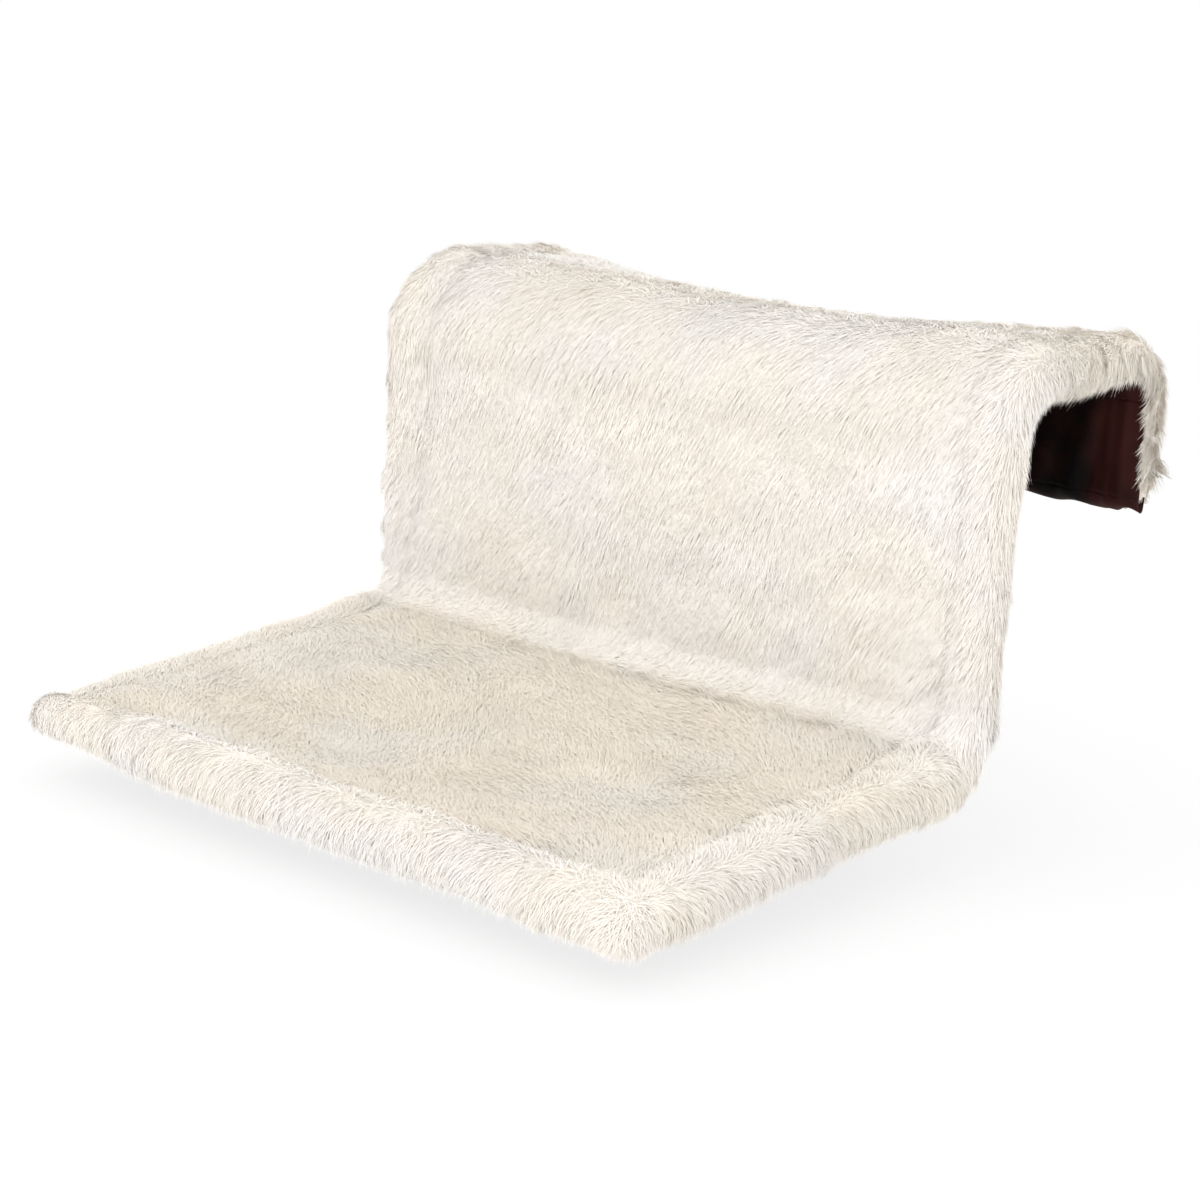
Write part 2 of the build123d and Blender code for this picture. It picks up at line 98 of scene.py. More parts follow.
class Rail:
    """Centre line of a side tube from the front bar to the foot, in the plane of Y and Z."""

    def __init__(self):
        step = 0.25 * mm
        front = middle_of("front_bar")
        corner_bar = middle_of("corner_bar")
        slope = atan2(corner_bar.z - front.z, corner_bar.y - front.y)
        arm_z = tube_high.z - tube_radius
        foot_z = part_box("rail_plugs")[0].z + plug_flange
        corner_z = front.z + tan(slope) * (upright_y - front.y)
        knots = (
            (front.y, front.z), (upright_y, corner_z), (upright_y, arm_z), (leg_y, arm_z), (leg_y, foot_z),
        )
        headings = (slope, pi / 2, 0, -pi / 2)
        bends = (seat_bend, brow_bend, heel_bend)
        marks, angles = [0.0], [slope]
        setback = 0
        for run, heading in enumerate(headings):
            knot, following = knots[run], knots[run + 1]
            length = np.hypot(following[0] - knot[0], following[1] - knot[1])
            turn = abs(headings[run + 1] - heading) if run < len(bends) else 0
            ahead = bends[run] * tan(turn / 2) if turn else 0
            marks.append(marks[-1] + length - setback - ahead)
            angles.append(heading)
            if turn:
                marks.append(marks[-1] + bends[run] * turn)
                angles.append(headings[run + 1])
            setback = ahead
        self.seat_end, self.back_start, self.back_end, self.arm_start = marks[1:5]
        self.arm_end, self.leg_start, self.leg_end = marks[5:8]
        self.along = np.arange(0, marks[-1] + step, step)
        middle_angles = np.interp(self.along[:-1] + step / 2, marks, angles)
        self.angle = np.interp(self.along, marks, angles)
        self.y = front.y + np.concatenate([[0], np.cumsum(np.cos(middle_angles)) * step])
        self.z = front.z + np.concatenate([[0], np.cumsum(np.sin(middle_angles)) * step])

    def at(self, along):
        """Y, Z and heading at distances along the line, which runs on straight past its ends."""
        inside = np.clip(along, 0, self.along[-1])
        heading = np.interp(inside, self.along, self.angle)
        past = along - inside
        y = np.interp(inside, self.along, self.y) + past * np.cos(heading)
        z = np.interp(inside, self.along, self.z) + past * np.sin(heading)
        return y, z, heading

    def place(self, x, along, off):
        """Points at x, a distance along the line and off from it towards the plush side."""
        y, z, heading = self.at(along)
        x, y, z = np.broadcast_arrays(x, y - np.sin(heading) * off, z + np.cos(heading) * off)
        return np.stack([x, y, z], -1)

    def normal(self, along):
        """Way out of the line towards the plush side."""
        heading = float(self.at(np.array(along))[2])
        return np.array([0, -sin(heading), cos(heading)])


rail = Rail()


# Settings that a user would change


def length_setting(name, description, default, high, low=0):
    """Setting for a length in metres."""
    return FloatProperty(
        name=name, description=description, default=default,
        min=low, max=high, unit="LENGTH", subtype="DISTANCE",
    )


def angle_setting(name, description, default, low=-2 * pi, high=2 * pi):
    """Setting for an angle in radians."""
    return FloatProperty(
        name=name, description=description, default=default,
        min=low, max=high, unit="ROTATION", subtype="ANGLE",
    )


def number_setting(name, description, default, high, low=0, subtype="NONE"):
    """Setting for a plain number."""
    return FloatProperty(
        name=name, description=description, default=default, min=low, max=high, subtype=subtype,
    )


def colour_setting(name, description, default):
    """Setting for a colour."""
    return FloatVectorProperty(
        name=name, description=description, default=default, size=3, min=0, max=1, subtype="COLOR",
    )


class CoverSizes(bpy.types.PropertyGroup):
    """Shape of the plush cover under its pile."""

    panel_rise: length_setting("Panel rise", "Height of the plush panels above the tubes", 11.5 * mm, 0.03)
    crease: length_setting("Crease", "Depth of the crease between a side roll and its panel", 3.5 * mm, 0.02)
    seat_sag: length_setting("Seat sag", "How far the seat hangs down in its middle", 18 * mm, 0.08)
    back_crown: length_setting("Back crown", "How far the back swells in its middle", 5 * mm, 0.04)
    hook_sag: length_setting(
        "Hook sag", "How far the plush dips between the tubes at the rear of the hook", 17 * mm, 0.04,
    )
    lump: length_setting("Lumps", "Height of the soft unevenness of the cover", 1.5 * mm, 0.01)
    spacing: length_setting("Mesh spacing", "Distance between the points of the cover", 3 * mm, 0.02, 0.001)


class PileLook(bpy.types.PropertyGroup):
    """Pile of the plush: slim locks of fibre with a triangular section, pointed at both ends."""

    per_area: number_setting("Locks per square centimetre", "How densely the locks stand", 120, 300, 1)
    length: length_setting("Pile length", "Mean length of a lock", 13.5 * mm, 0.04, 0.002)
    width: length_setting("Lock width", "Width of a lock at its middle", 0.48 * mm, 0.004, 0.0001)
    lift: angle_setting("Lift", "Angle at which the locks stand off the cloth", radians(12), 0, pi / 2)
    clump: number_setting(
        "Clumping", "How far the tips of neighbouring locks lean together", 0.38, 1, subtype="FACTOR",
    )
    seed: IntProperty(name="Seed", description="Start of the random placing of the locks", default=7, min=0)


class BedColours(bpy.types.PropertyGroup):
    """Colours of the cloths and the frame."""

    pile_tip: colour_setting("Pile tips", "Cream of the tips of the pile", (0.985, 0.950, 0.892))
    # The roots' deeper cream is painted shade deep in the pile
    pile_root_shade: colour_setting("Pile roots", "Deeper cream at the roots of the pile", (0.97, 0.92, 0.84))
    # Painted light: the lining's near-black colour is its shaded copy and its redder colour its lit copy
    lining: colour_setting("Lining", "Dark brown of the lining", (0.0016, 0.0014, 0.0015))
    lining_lit: colour_setting(
        "Lining threads", "Redder brown of the lining's raised threads", (0.040, 0.0095, 0.0075),
    )
    powder_coat: colour_setting("Powder coat", "Finish of the tubes", (0.78, 0.77, 0.74))


class StageSetup(bpy.types.PropertyGroup):
    """Camera, lights and floor."""

    azimuth: angle_setting("Camera azimuth", "Camera's way round to the right of the front", radians(39.40))
    elevation: angle_setting("Camera elevation", "Camera's angle above the horizon", radians(12.54))
    roll: angle_setting("Camera roll", "Turn of the camera about its view", radians(4.22))
    distance: length_setting(
        "Camera distance", "From the camera to the point that it looks at", 1.5555, 20, 0.1,
    )
    lens: number_setting("Lens", "Focal length in millimetres on a sensor 36 mm wide", 80.67, 500, 10)
    target: FloatVectorProperty(
        name="Camera target", description="Point that the camera looks at", size=3,
        default=(-0.0492, -0.0500, -0.1568), subtype="TRANSLATION", unit="LENGTH",
    )
    ambient: number_setting("Ambient light", "Strength of the light from all round", 1.17, 5)
    key_power: number_setting("Key light", "Power of the soft light from the front", 13.5, 500)
    floor_shadow: number_setting(
        "Floor shadow", "How much of the floor's shadow shows", 0.2, 1, subtype="FACTOR",
    )


# Materials

# Shades that vary a material: spots, wear and streaks
warm_patch = (0.995, 0.98, 0.965)
cool_patch = (0.98, 0.985, 1.005)
matted_fibre = (0.78, 0.78, 0.76)
loose_fibre = (0.94, 0.94, 0.92)
rubbed_coat = (0.60, 0.59, 0.57)
worn_thread = (0.11, 0.04, 0.03)
lining_sheen = (0.9, 0.35, 0.3, 1)


def new_material(name, colour, roughness, metallic=0.0):
    """Material with one Principled shader, and its node tree and shader."""
    material = bpy.data.materials.new(name)
    material.use_nodes = True
    shader = material.node_tree.nodes["Principled BSDF"]
    shader.inputs["Base Color"].default_value = (*colour, 1)
    shader.inputs["Roughness"].default_value = roughness
    shader.inputs["Metallic"].default_value = metallic
    return material, material.node_tree, shader


def add_node(tree, kind, **inputs):
    """Node with the given input values."""
    node = tree.nodes.new("ShaderNode" + kind)
    for name, value in inputs.items():
        node.inputs[name.replace("_", " ")].default_value = value
    return node


def place_of(tree):
    """Socket with a point's place on its object, in metres."""
    return add_node(tree, "TexCoord").outputs["Object"]


def noise_of(tree, where, scale, detail=2.0, roughness=0.5):
    """Socket with soft noise, from 0 to 1."""
    texture = add_node(tree, "TexNoise", Scale=scale, Detail=detail, Roughness=roughness)
    tree.links.new(where, texture.inputs["Vector"])
    return texture.outputs["Fac"]


def blend_colours(tree, share, first, second):
    """Socket with a colour between two, by share."""
    mix = tree.nodes.new("ShaderNodeMix")
    mix.data_type = "RGBA"
    for socket, value in zip((mix.inputs[0], mix.inputs[6], mix.inputs[7]), (share, first, second)):
        if isinstance(value, bpy.types.NodeSocket):
            tree.links.new(value, socket)
        else:
            socket.default_value = (*value, 1)
    return mix.outputs[2]


def combine(tree, kind, operation, first, second):
    """Socket with two sockets put together by a sum node."""
    node = add_node(tree, kind)
    node.operation = operation
    tree.links.new(first, node.inputs[0])
    tree.links.new(second, node.inputs[1])
    return node.outputs[0]


def ramp_of(tree, value, low, high):
    """Socket that goes from 0 at low to 1 at high, smoothly."""
    ramp = add_node(tree, "MapRange")
    ramp.interpolation_type = "SMOOTHSTEP"
    ramp.inputs["From Min"].default_value = low
    ramp.inputs["From Max"].default_value = high
    tree.links.new(value, ramp.inputs["Value"])
    return ramp.outputs["Result"]


def add_bump(tree, shader, height, distance, strength=0.5):
    """Bump of a height socket on a shader."""
    bump = add_node(tree, "Bump", Distance=distance, Strength=strength)
    tree.links.new(height, bump.inputs["Height"])
    tree.links.new(bump.outputs["Normal"], shader.inputs["Normal"])


def attribute_of(tree, name, output):
    """Socket with an attribute of the mesh."""
    node = tree.nodes.new("ShaderNodeAttribute")
    node.attribute_name = name
    return node.outputs[output]


def pile_material():
    """Locks of the pile: deeper at the root as painted shade, lighter at the tip, each lock a little
    different.
    """
    colours = bpy.context.scene.bed_colours
    material, tree, shader = new_material("plush_pile", colours.pile_tip, 0.8)
    # Painted shade: each lock darkens towards its root
    rising = ramp_of(tree, attribute_of(tree, "along", "Fac"), 0.0, 0.65)
    fibre = blend_colours(tree, rising, colours.pile_root_shade, colours.pile_tip)
    patch = ramp_of(tree, noise_of(tree, place_of(tree), 13.0), 0.4, 0.65)
    brushed = blend_colours(tree, patch, warm_patch, cool_patch)
    shaded = combine(tree, "VectorMath", "MULTIPLY", fibre, brushed)
    # The tint attribute holds each lock's random tone and, on the seat, hook and front roll, painted shade
    toned = combine(tree, "VectorMath", "MULTIPLY", shaded, attribute_of(tree, "tint", "Vector"))
    tree.links.new(toned, shader.inputs["Base Color"])
    shader.inputs["Specular IOR Level"].default_value = 0.25
    shader.inputs["Sheen Weight"].default_value = 0.25
    shader.inputs["Sheen Roughness"].default_value = 0.4
    return material


def lining_material(name):
    """Woven brown lining: fine threads both ways, with a soft sheen. Its near-black base is painted shade,
    and threads on wrinkle peaks take its lit colour, a painted highlight.
    """
    colours = bpy.context.scene.bed_colours
    material, tree, shader = new_material(name, colours.lining, 0.7)
    where = attribute_of(tree, "cloth", "Vector")
    threads = []
    for direction in ("X", "Y"):
        wave = add_node(tree, "TexWave", Scale=520.0, Distortion=0.6, Detail=1.0)
        wave.bands_direction = direction
        tree.links.new(where, wave.inputs["Vector"])
        threads.append(wave.outputs["Fac"])
    weave = combine(tree, "Math", "MAXIMUM", *threads)
    wrinkle = noise_of(tree, place_of(tree), 30.0, 3.0, 0.55)
    # Painted highlight: the lit colour on the peaks of the wrinkles
    wrinkle_highlight = blend_colours(tree, ramp_of(tree, wrinkle, 0.45, 0.9), colours.lining, colours.lining_lit)
    woven = blend_colours(tree, ramp_of(tree, weave, 0.2, 1.0), colours.lining, wrinkle_highlight)
    # Painted highlight: the lit colour where the lining stands up over the rear legs' rolls
    raised = ramp_of(tree, attribute_of(tree, "crest_highlight", "Fac"), 0.0, 1.0)
    cloth = blend_colours(tree, raised, woven, colours.lining_lit)
    tree.links.new(cloth, shader.inputs["Base Color"])
    add_bump(tree, shader, wrinkle, 3 * mm, 0.5)
    shader.inputs["Sheen Weight"].default_value = 0.05
    shader.inputs["Specular IOR Level"].default_value = 0.1
    shader.inputs["Sheen Tint"].default_value = lining_sheen
    return material


def mottled_material(name, colours, roughness, spots, grain, metallic=0.0, sheen=0.0):
    """Spots of two colours by noise between two values, with a grain of noise, depth and strength."""
    material, tree, shader = new_material(name, colours[0], roughness, metallic)
    where = place_of(tree)
    *spot_noise, low, high = spots
    share = ramp_of(tree, noise_of(tree, where, *spot_noise), low, high)
    tree.links.new(blend_colours(tree, share, *colours), shader.inputs["Base Color"])
    *grain_noise, depth, strength = grain
    add_bump(tree, shader, noise_of(tree, where, *grain_noise), depth, strength)
    shader.inputs["Sheen Weight"].default_value = sheen
    return material


def plush_backing_material():
    """Knitted ground of the plush, seen only deep between the locks. It is mottled between the roots'
    colour, painted shade, and the tips' colour.
    """
    colours = bpy.context.scene.bed_colours
    shades = (colours.pile_root_shade, colours.pile_tip)
    knit = (900.0, 3.0, 0.7, 0.6 * mm, 0.5)
    return mottled_material("plush_ground", shades, 0.95, (60.0, 4.0, 0.5, 0.3, 0.7), knit, sheen=0.3)


def wadding_material():
    """White fibre wadding: matted, fluffy and slightly uneven."""
    mats = (260.0, 6.0, 0.75, 0.3, 0.7)
    fluff = (260.0, 6.0, 0.75, 1.2 * mm, 0.8)
    return mottled_material("fibre_wadding", (matted_fibre, loose_fibre), 1.0, mats, fluff, sheen=0.4)


def powder_coat_material():
    """Satin powder coat with a fine orange peel and rubbed spots."""
    shades = (bpy.context.scene.bed_colours.powder_coat, rubbed_coat)
    rubbed = (35.0, 5.0, 0.65, 0.62, 0.75)
    orange_peel = (1400.0, 2.0, 0.5, 0.05 * mm, 0.4)
    return mottled_material("powder_coat", shades, 0.42, rubbed, orange_peel)


def metal_material(name, colour, dark, roughness):
    """Plated metal with fine scratches and dull spots."""
    dull = (300.0, 5.0, 0.6, 0.45, 0.7)
    scratches = (2400.0, 2.0, 0.5, 0.02 * mm, 0.4)
    return mottled_material(name, (colour, dark), roughness, dull, scratches, metallic=1.0)


def plastic_material(name, colour, light, roughness):
    """Moulded plastic with a fine grain."""
    streaks = (120.0, 3.0, 0.5, 0.4, 0.8)
    grain = (3000.0, 2.0, 0.5, 0.03 * mm, 0.5)
    return mottled_material(name, (colour, light), roughness, streaks, grain)


# Meshes


def link_piece(name, mesh, material):
    """Piece made of a mesh, with its material, that rides on the bed."""
    piece = bpy.data.objects.new(name, mesh)
    bpy.context.scene.collection.objects.link(piece)
    mesh.materials.append(material)
    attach(piece, bed)
    return piece


def grid_faces(rows, columns, closed=False):
    """Quads of a grid of points, closed round the columns if asked."""
    across = columns if closed else columns - 1
    row, column = np.meshgrid(np.arange(rows - 1), np.arange(across), indexing="ij")
    following = (column + 1) % columns
    first, second = row * columns, (row + 1) * columns
    corners = (first + column, first + following, second + following, second + column)
    return np.stack(corners, -1).reshape(-1, 4)


def mesh_of(name, points, faces):
    """Smooth mesh of points and faces."""
    mesh = bpy.data.meshes.new(name)
    faces = faces.tolist() if isinstance(faces, np.ndarray) else faces
    mesh.from_pydata(np.asarray(points).reshape(-1, 3).tolist(), [], faces)
    mesh.shade_smooth()
    mesh.update()
    return mesh


def tubes_mesh(name, tubes, turned=False):
    """Mesh of closed tubes, from points by tube, ring and side. Its faces are turned over if asked."""
    count, rings, sides = tubes.shape[:3]
    form = grid_faces(rings, sides, closed=True).tolist()
    form.append(list(reversed(range(sides))))
    form.append([(rings - 1) * sides + corner for corner in range(sides)])
    if turned:
        form = [face[::-1] for face in form]
    starts = range(0, count * rings * sides, rings * sides)
    faces = [[start + corner for corner in face] for start in starts for face in form]
    return mesh_of(name, tubes, faces)


def store(mesh, name, kind, domain, values):
    """Keeps values on a mesh as an attribute."""
    field = "vector" if kind == "FLOAT_VECTOR" else "value"
    values = np.asarray(values, dtype=bool if kind == "BOOLEAN" else np.float32)
    mesh.attributes.new(name, kind, domain).data.foreach_set(field, values.ravel())


def store_cloth(mesh, points):
    """Measures along the cloth both ways, kept on the mesh for its weave."""
    down = np.zeros(points.shape[:2])
    across = np.zeros(points.shape[:2])
    down[1:] = np.cumsum(np.linalg.norm(np.diff(points, axis=0), axis=-1), 0)
    across[:, 1:] = np.cumsum(np.linalg.norm(np.diff(points, axis=1), axis=-1), 1)
    store(mesh, "cloth", "FLOAT_VECTOR", "POINT", np.stack([across, down, np.zeros_like(down)], -1))


def thicken(piece, thickness):
    """Gives a sheet its thickness, on the side away from its face."""
    solidify = piece.modifiers.new("thickness", "SOLIDIFY")
    solidify.thickness = thickness
    solidify.offset = -1


def soften(points, width):
    """Points averaged with their neighbours along the second axis."""
    reach = int(3 * width)
    steps = np.arange(-reach, reach + 1)
    weights = np.exp(-(steps / width) ** 2 / 2)
    weights /= weights.sum()
    padded = np.pad(points, ((0, 0), (reach, reach), (0, 0)), mode="edge")
    count = points.shape[1]
    return sum(weight * padded[:, step + reach:step + reach + count] for step, weight in zip(steps, weights))


def soft_noise(points, scale, offset=0.0):
    """Noise from about -1 to 1 at each point."""
    shift = Vector((offset, offset, offset))
    flat = points.reshape(-1, 3)
    values = [noise.noise(Vector(point) * scale + shift) for point in flat.tolist()]
    return np.array(values).reshape(points.shape[:-1])


def unit(vectors):
    """Vectors of length 1."""
    return vectors / np.maximum(np.linalg.norm(vectors, axis=-1, keepdims=True), 1e-9)


def smooth_step(value, low, high):
    """0 below low, 1 above high and smooth between."""
    share = np.clip((value - low) / (high - low), 0, 1)
    return share * share * (3 - 2 * share)


def near(value, middle, width):
    """1 at a middle value, falling smoothly to 0 on both sides of it."""
    return np.exp(-((value - middle) / width) ** 2)


def arch(value, low, high):
    """1 in the middle of a stretch and 0 at its ends."""
    middle = (low + high) / 2
    return np.clip(1 - ((value - middle) / (high - middle)) ** 2, 0, 1)


def rounded(past, least, power=2):
    """Width of a rounded end, from 1 where the rounding starts to a least width at its tip."""
    return np.sqrt(np.clip(1 - past ** power, least, 1))


def grid_frame(points):
    """Unit vectors along, across and out of a grid of points."""
    along = unit(np.gradient(points, axis=0))
    across = unit(np.gradient(points, axis=1))
    return along, across, unit(np.cross(across, along))


# Plush cover

# Radius of each side roll along its tube: share of the whole line, and radius in millimetres
left_roll_shape = (
    (0.0, 8.8), (0.04, 10.2), (0.10, 10.5), (0.26, 12.0), (0.35, 13.0), (0.41, 10.5), (0.46, 12.0),
    (0.53, 15.0), (0.62, 16.5), (0.69, 17.0), (0.80, 14.0), (1.0, 12.5),
)
right_roll_shape = (
    (0.0, 13.5), (0.10, 13.5), (0.28, 14.0), (0.35, 17.0), (0.41, 15.0), (0.47, 13.2), (0.53, 12.5),
    (0.62, 13.0), (0.70, 14.0), (0.80, 13.0), (1.0, 12.5),
)
foot_tip = 6 * mm
roll_nose = 9 * mm
corner_lap = 14 * mm
brow_rise = 2.5 * mm
crease_width = 14 * mm
right_crease = 0.35
front_dip = 4 * mm
front_dip_at = 20 * mm
front_dip_width = 12 * mm
plush_thickness = 0.8 * mm

# Stretches of the tubes over which the cover rises towards the brow and its underside draws in on the hook
brow_stretch = (rail.back_end - 20 * mm, rail.arm_start)
under_stretch = (rail.arm_start + 22 * mm, rail.arm_end + 4 * mm)

# Angle round the tube at which the plush ends: under the bed and on the rear leg
under_edge = radians(-117)
leg_under_edge = radians(-24)
panel_steps = 64
roll_steps = 26


def roll_radius_at(along, side):
    """Radius of a side roll at distances along its tube."""
    shares, radii = zip(*(right_roll_shape if side > 0 else left_roll_shape))
    return np.interp(along / rail.leg_end, shares, radii) * mm


def under_edge_at(along):
    """Angle round the tube at which the plush ends and the lining begins."""
    share = smooth_step(along, *under_stretch)
    return under_edge + (leg_under_edge - under_edge) * share


def panel_height(along, share, side):
    """Height of the panels above the tubes, along them and at a share of the way from middle to side."""
    sizes = bpy.context.scene.cover_sizes
    inward = 1 - share ** 2
    height = sizes.panel_rise - sizes.seat_sag * arch(along, 0, rail.seat_end - corner_lap) * inward
    height = height + sizes.back_crown * arch(along, rail.seat_end, rail.arm_start) * inward
    height = height + brow_rise * smooth_step(along, *brow_stretch)
    edge = near((1 - share) * side_x, 0, crease_width)
    height = height - sizes.crease * edge * (right_crease if side > 0 else 1.0)
    return height - front_dip * near(along, front_dip_at, front_dip_width) * inward


def cover_sections(along):
    """Cross-sections of the cover from its left underside to its right one: x and height off the tubes."""
    along = along[:, None]
    share = np.linspace(0, 1, panel_steps + 1)[None, :-1]
    turn = np.linspace(0, 1, roll_steps)[None]
    full = np.where(along < rail.arm_start, roll_radius, hook_roll_radius)
    tip = rounded(np.clip(along - rail.leg_end, 0, None) / foot_tip, 0.02)
    slim = 0.5 * (1 - rounded(np.clip(1 - along / roll_nose, 0, None), 0))
    halves = []
    for side in (-1, 1):
        radius = roll_radius_at(along, side)
        joint_angle = pi - np.arcsin(np.clip(panel_height(along, 1.0, side) / radius, -0.95, 0.95))
        panel_x = (side_x + radius * np.cos(joint_angle)) * share
        panel_off = panel_height(along, share, side) * tip
        angle = joint_angle + (under_edge_at(along) - joint_angle) * turn
        lower = smooth_step(-angle, radians(15), radians(80)) * smooth_step(along, 0, front_radius * 2)
        round_radius = radius + (np.maximum(full, radius) - radius) * lower
        round_radius = round_radius * (1 - slim * smooth_step(turn, 0, 0.35))
        roll_x = side_x + round_radius * np.cos(angle) * tip
        roll_off = np.maximum(round_radius * np.sin(angle), lining_off) * tip
        x = side * np.concatenate([panel_x, roll_x], 1)
        halves.append((x, np.concatenate([panel_off, roll_off], 1)))
    return [np.concatenate([left[:, :0:-1], right], 1) for left, right in zip(*halves)]


def heel_dip(points):
    """How far the cloth hangs below the tubes' plane between them, towards the rear of the hook."""
    inward = np.clip(1 - (points[..., 0] / side_x) ** 2, 0, 1)
    rearward = np.clip((points[..., 1] - upright_y) / (leg_y - upright_y), 0, 1)
    foot_z = rail.z[-1]
    upward = smooth_step(points[..., 2], foot_z, foot_z + 45 * mm)
    return bpy.context.scene.cover_sizes.hook_sag * inward * rearward * upward


def cover_points():
    """Distances along the tubes and grid of points of the plush cover, from the front roll to the foot."""
    sizes = bpy.context.scene.cover_sizes
    straight = np.arange(2 * mm, rail.leg_end, sizes.spacing)
    tip = rail.leg_end + foot_tip * np.sin(np.linspace(0, pi / 2, 6))
    along = np.concatenate([straight, tip])
    x, off = cover_sections(along)
    points = rail.place(x, along[:, None], off)
    points[..., 2] -= heel_dip(points)
    points = soften(points, 1.0)
    outward = grid_frame(points)[2]
    fade = smooth_step(rail.leg_end - along, 0, 20 * mm)[:, None, None]
    lumps = soft_noise(points, 16) + 0.5 * soft_noise(points, 42, 3.0)
    points = points + outward * (sizes.lump * lumps)[..., None] * fade
    return along, soften(points, 0.7)


class CatBedPlushCover(bpy.types.Operator):
    """Lay the plush cover over seat, back and hook"""

    bl_idname = "object.cat_bed_plush_cover"
    bl_label = "Plush cover"

    def execute(self, context):
        points = cover_points()[1]
        mesh = mesh_of("plush_cover", points, grid_faces(*points.shape[:2]))
        store_cloth(mesh, points)
        piece = link_piece("plush_cover", mesh, plush_backing_material())
        thicken(piece, plush_thickness)
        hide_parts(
            "seat_plush", "corner_plush", "back_plush", "hook_plush", "flap_plush", "seat_roll_left",
            "seat_roll_right", "back_roll_left", "back_roll_right", "hook_roll_left", "hook_roll_right",
        )
        return {"FINISHED"}


# Front roll

knob_length = 12 * mm
left_lift = 2.5 * mm
right_drop = 1.0 * mm


def front_radius_at(x):
    """Radius of the front roll across the bed: slimmer towards its left end."""
    slim = (1 - 0.08 * smooth_step(-x, 0.12, front_half)) * (1 - 0.26 * smooth_step(-x, 0.10, front_half))
    return front_radius * slim


def front_lift_at(x):
    """Height of the front roll's middle above the front bar: higher at its left end."""
    return left_lift * smooth_step(-x, -0.05, front_half) - right_drop * smooth_step(x, 0.1, front_half)


def front_roll_points():
    """Grid of points round the front roll, with its soft rounded ends."""
    x = -front_half * np.cos(np.linspace(0, pi, 150))
    knob = rounded(np.clip((np.abs(x) - (front_half - knob_length)) / knob_length, 0, 1), 0.0004)
    radius = (front_radius_at(x) * knob)[:, None]
    angle = np.linspace(0, 2 * pi, 40, endpoint=False)
    lift = front_lift_at(x)[:, None]
    y = front_centre.y + radius * np.cos(angle)
    z = front_centre.z + radius * np.sin(angle) + lift
    points = np.stack(np.broadcast_arrays(x[:, None], y, z), -1)
    middle = np.stack(np.broadcast_arrays(x[:, None], front_centre.y, front_centre.z + lift), -1)
    spokes = unit(points - middle)
    lumps = soft_noise(points, 20, 5.0) + 0.5 * soft_noise(points, 50, 8.0)
    return points + spokes * (bpy.context.scene.cover_sizes.lump * lumps * knob[:, None])[..., None]


class CatBedFrontRoll(bpy.types.Operator):
    """Roll the plush round the front bar"""

    bl_idname = "object.cat_bed_front_roll"
    bl_label = "Front roll"

    def execute(self, context):
        points = front_roll_points()
        mesh = mesh_of("front_roll_cover", points, grid_faces(*points.shape[:2], closed=True))
        store_cloth(mesh, points)
        piece = link_piece("front_roll_cover", mesh, bpy.data.materials["plush_ground"])
        thicken(piece, plush_thickness)
        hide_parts("front_roll")
        return {"FINISHED"}


# Pile

# Painted shade: the seat's and hook's pile is darker and yellower, and the front roll's a little darker,
# than the rest of the pile
seat_painted_shade = (0.90, 0.877, 0.830)
front_painted_shade = 0.985

# Locks to each guide that they lean towards, and the most locks in one piece
guide_every = 26
piece_locks = 32000

# Limits of a lock's length and of its lift, and how much more a tuft stands up
shortest_lock = 4 * mm
longest_lock = 20 * mm
longest_front_lock = 18 * mm
lowest_lift = radians(5)
lowest_front_lift = radians(3)
highest_lift = radians(60)
tuft_lift = radians(14)
front_tuft_lift = radians(10)

# Stretches of the tubes over which the pile changes from one part of the bed to the next
seat_stretch = (rail.seat_end - 20 * mm, rail.back_start - 5 * mm)
hook_stretch = (rail.back_end, rail.arm_start + 20 * mm)
leg_stretch = (rail.arm_end - 20 * mm, rail.leg_start)
shoulder_stretch = (rail.back_end - 70 * mm, rail.back_end - 30 * mm)
foot_stretch = (rail.leg_end - 16 * mm, rail.leg_end - 4 * mm)
front_stretch = (0, 25 * mm)

# Widths of the fold behind the seat and of the parting over the arch
fold_width = 22 * mm
parting_width = 30 * mm

# Pull of the nap to the left, along the tubes, downwards and sideways in swirls
nap_left = np.array([0.5, 0, 0])
nap_onwards = 0.45
nap_down = 0.7
nap_swirl = 0.5
cover_swirls = (11.0, 23.0, 37.0)
front_swirls = (13.0, 29.0, 41.0)

# Stretches across the bed: the front roll's crowded ends, its turned ends and its slimmer left part
crowded_ends = (front_half - 30 * mm, front_half - 5 * mm)
turned_ends = (front_half - 40 * mm, front_half - 10 * mm)
slim_part = (0.12, front_half)


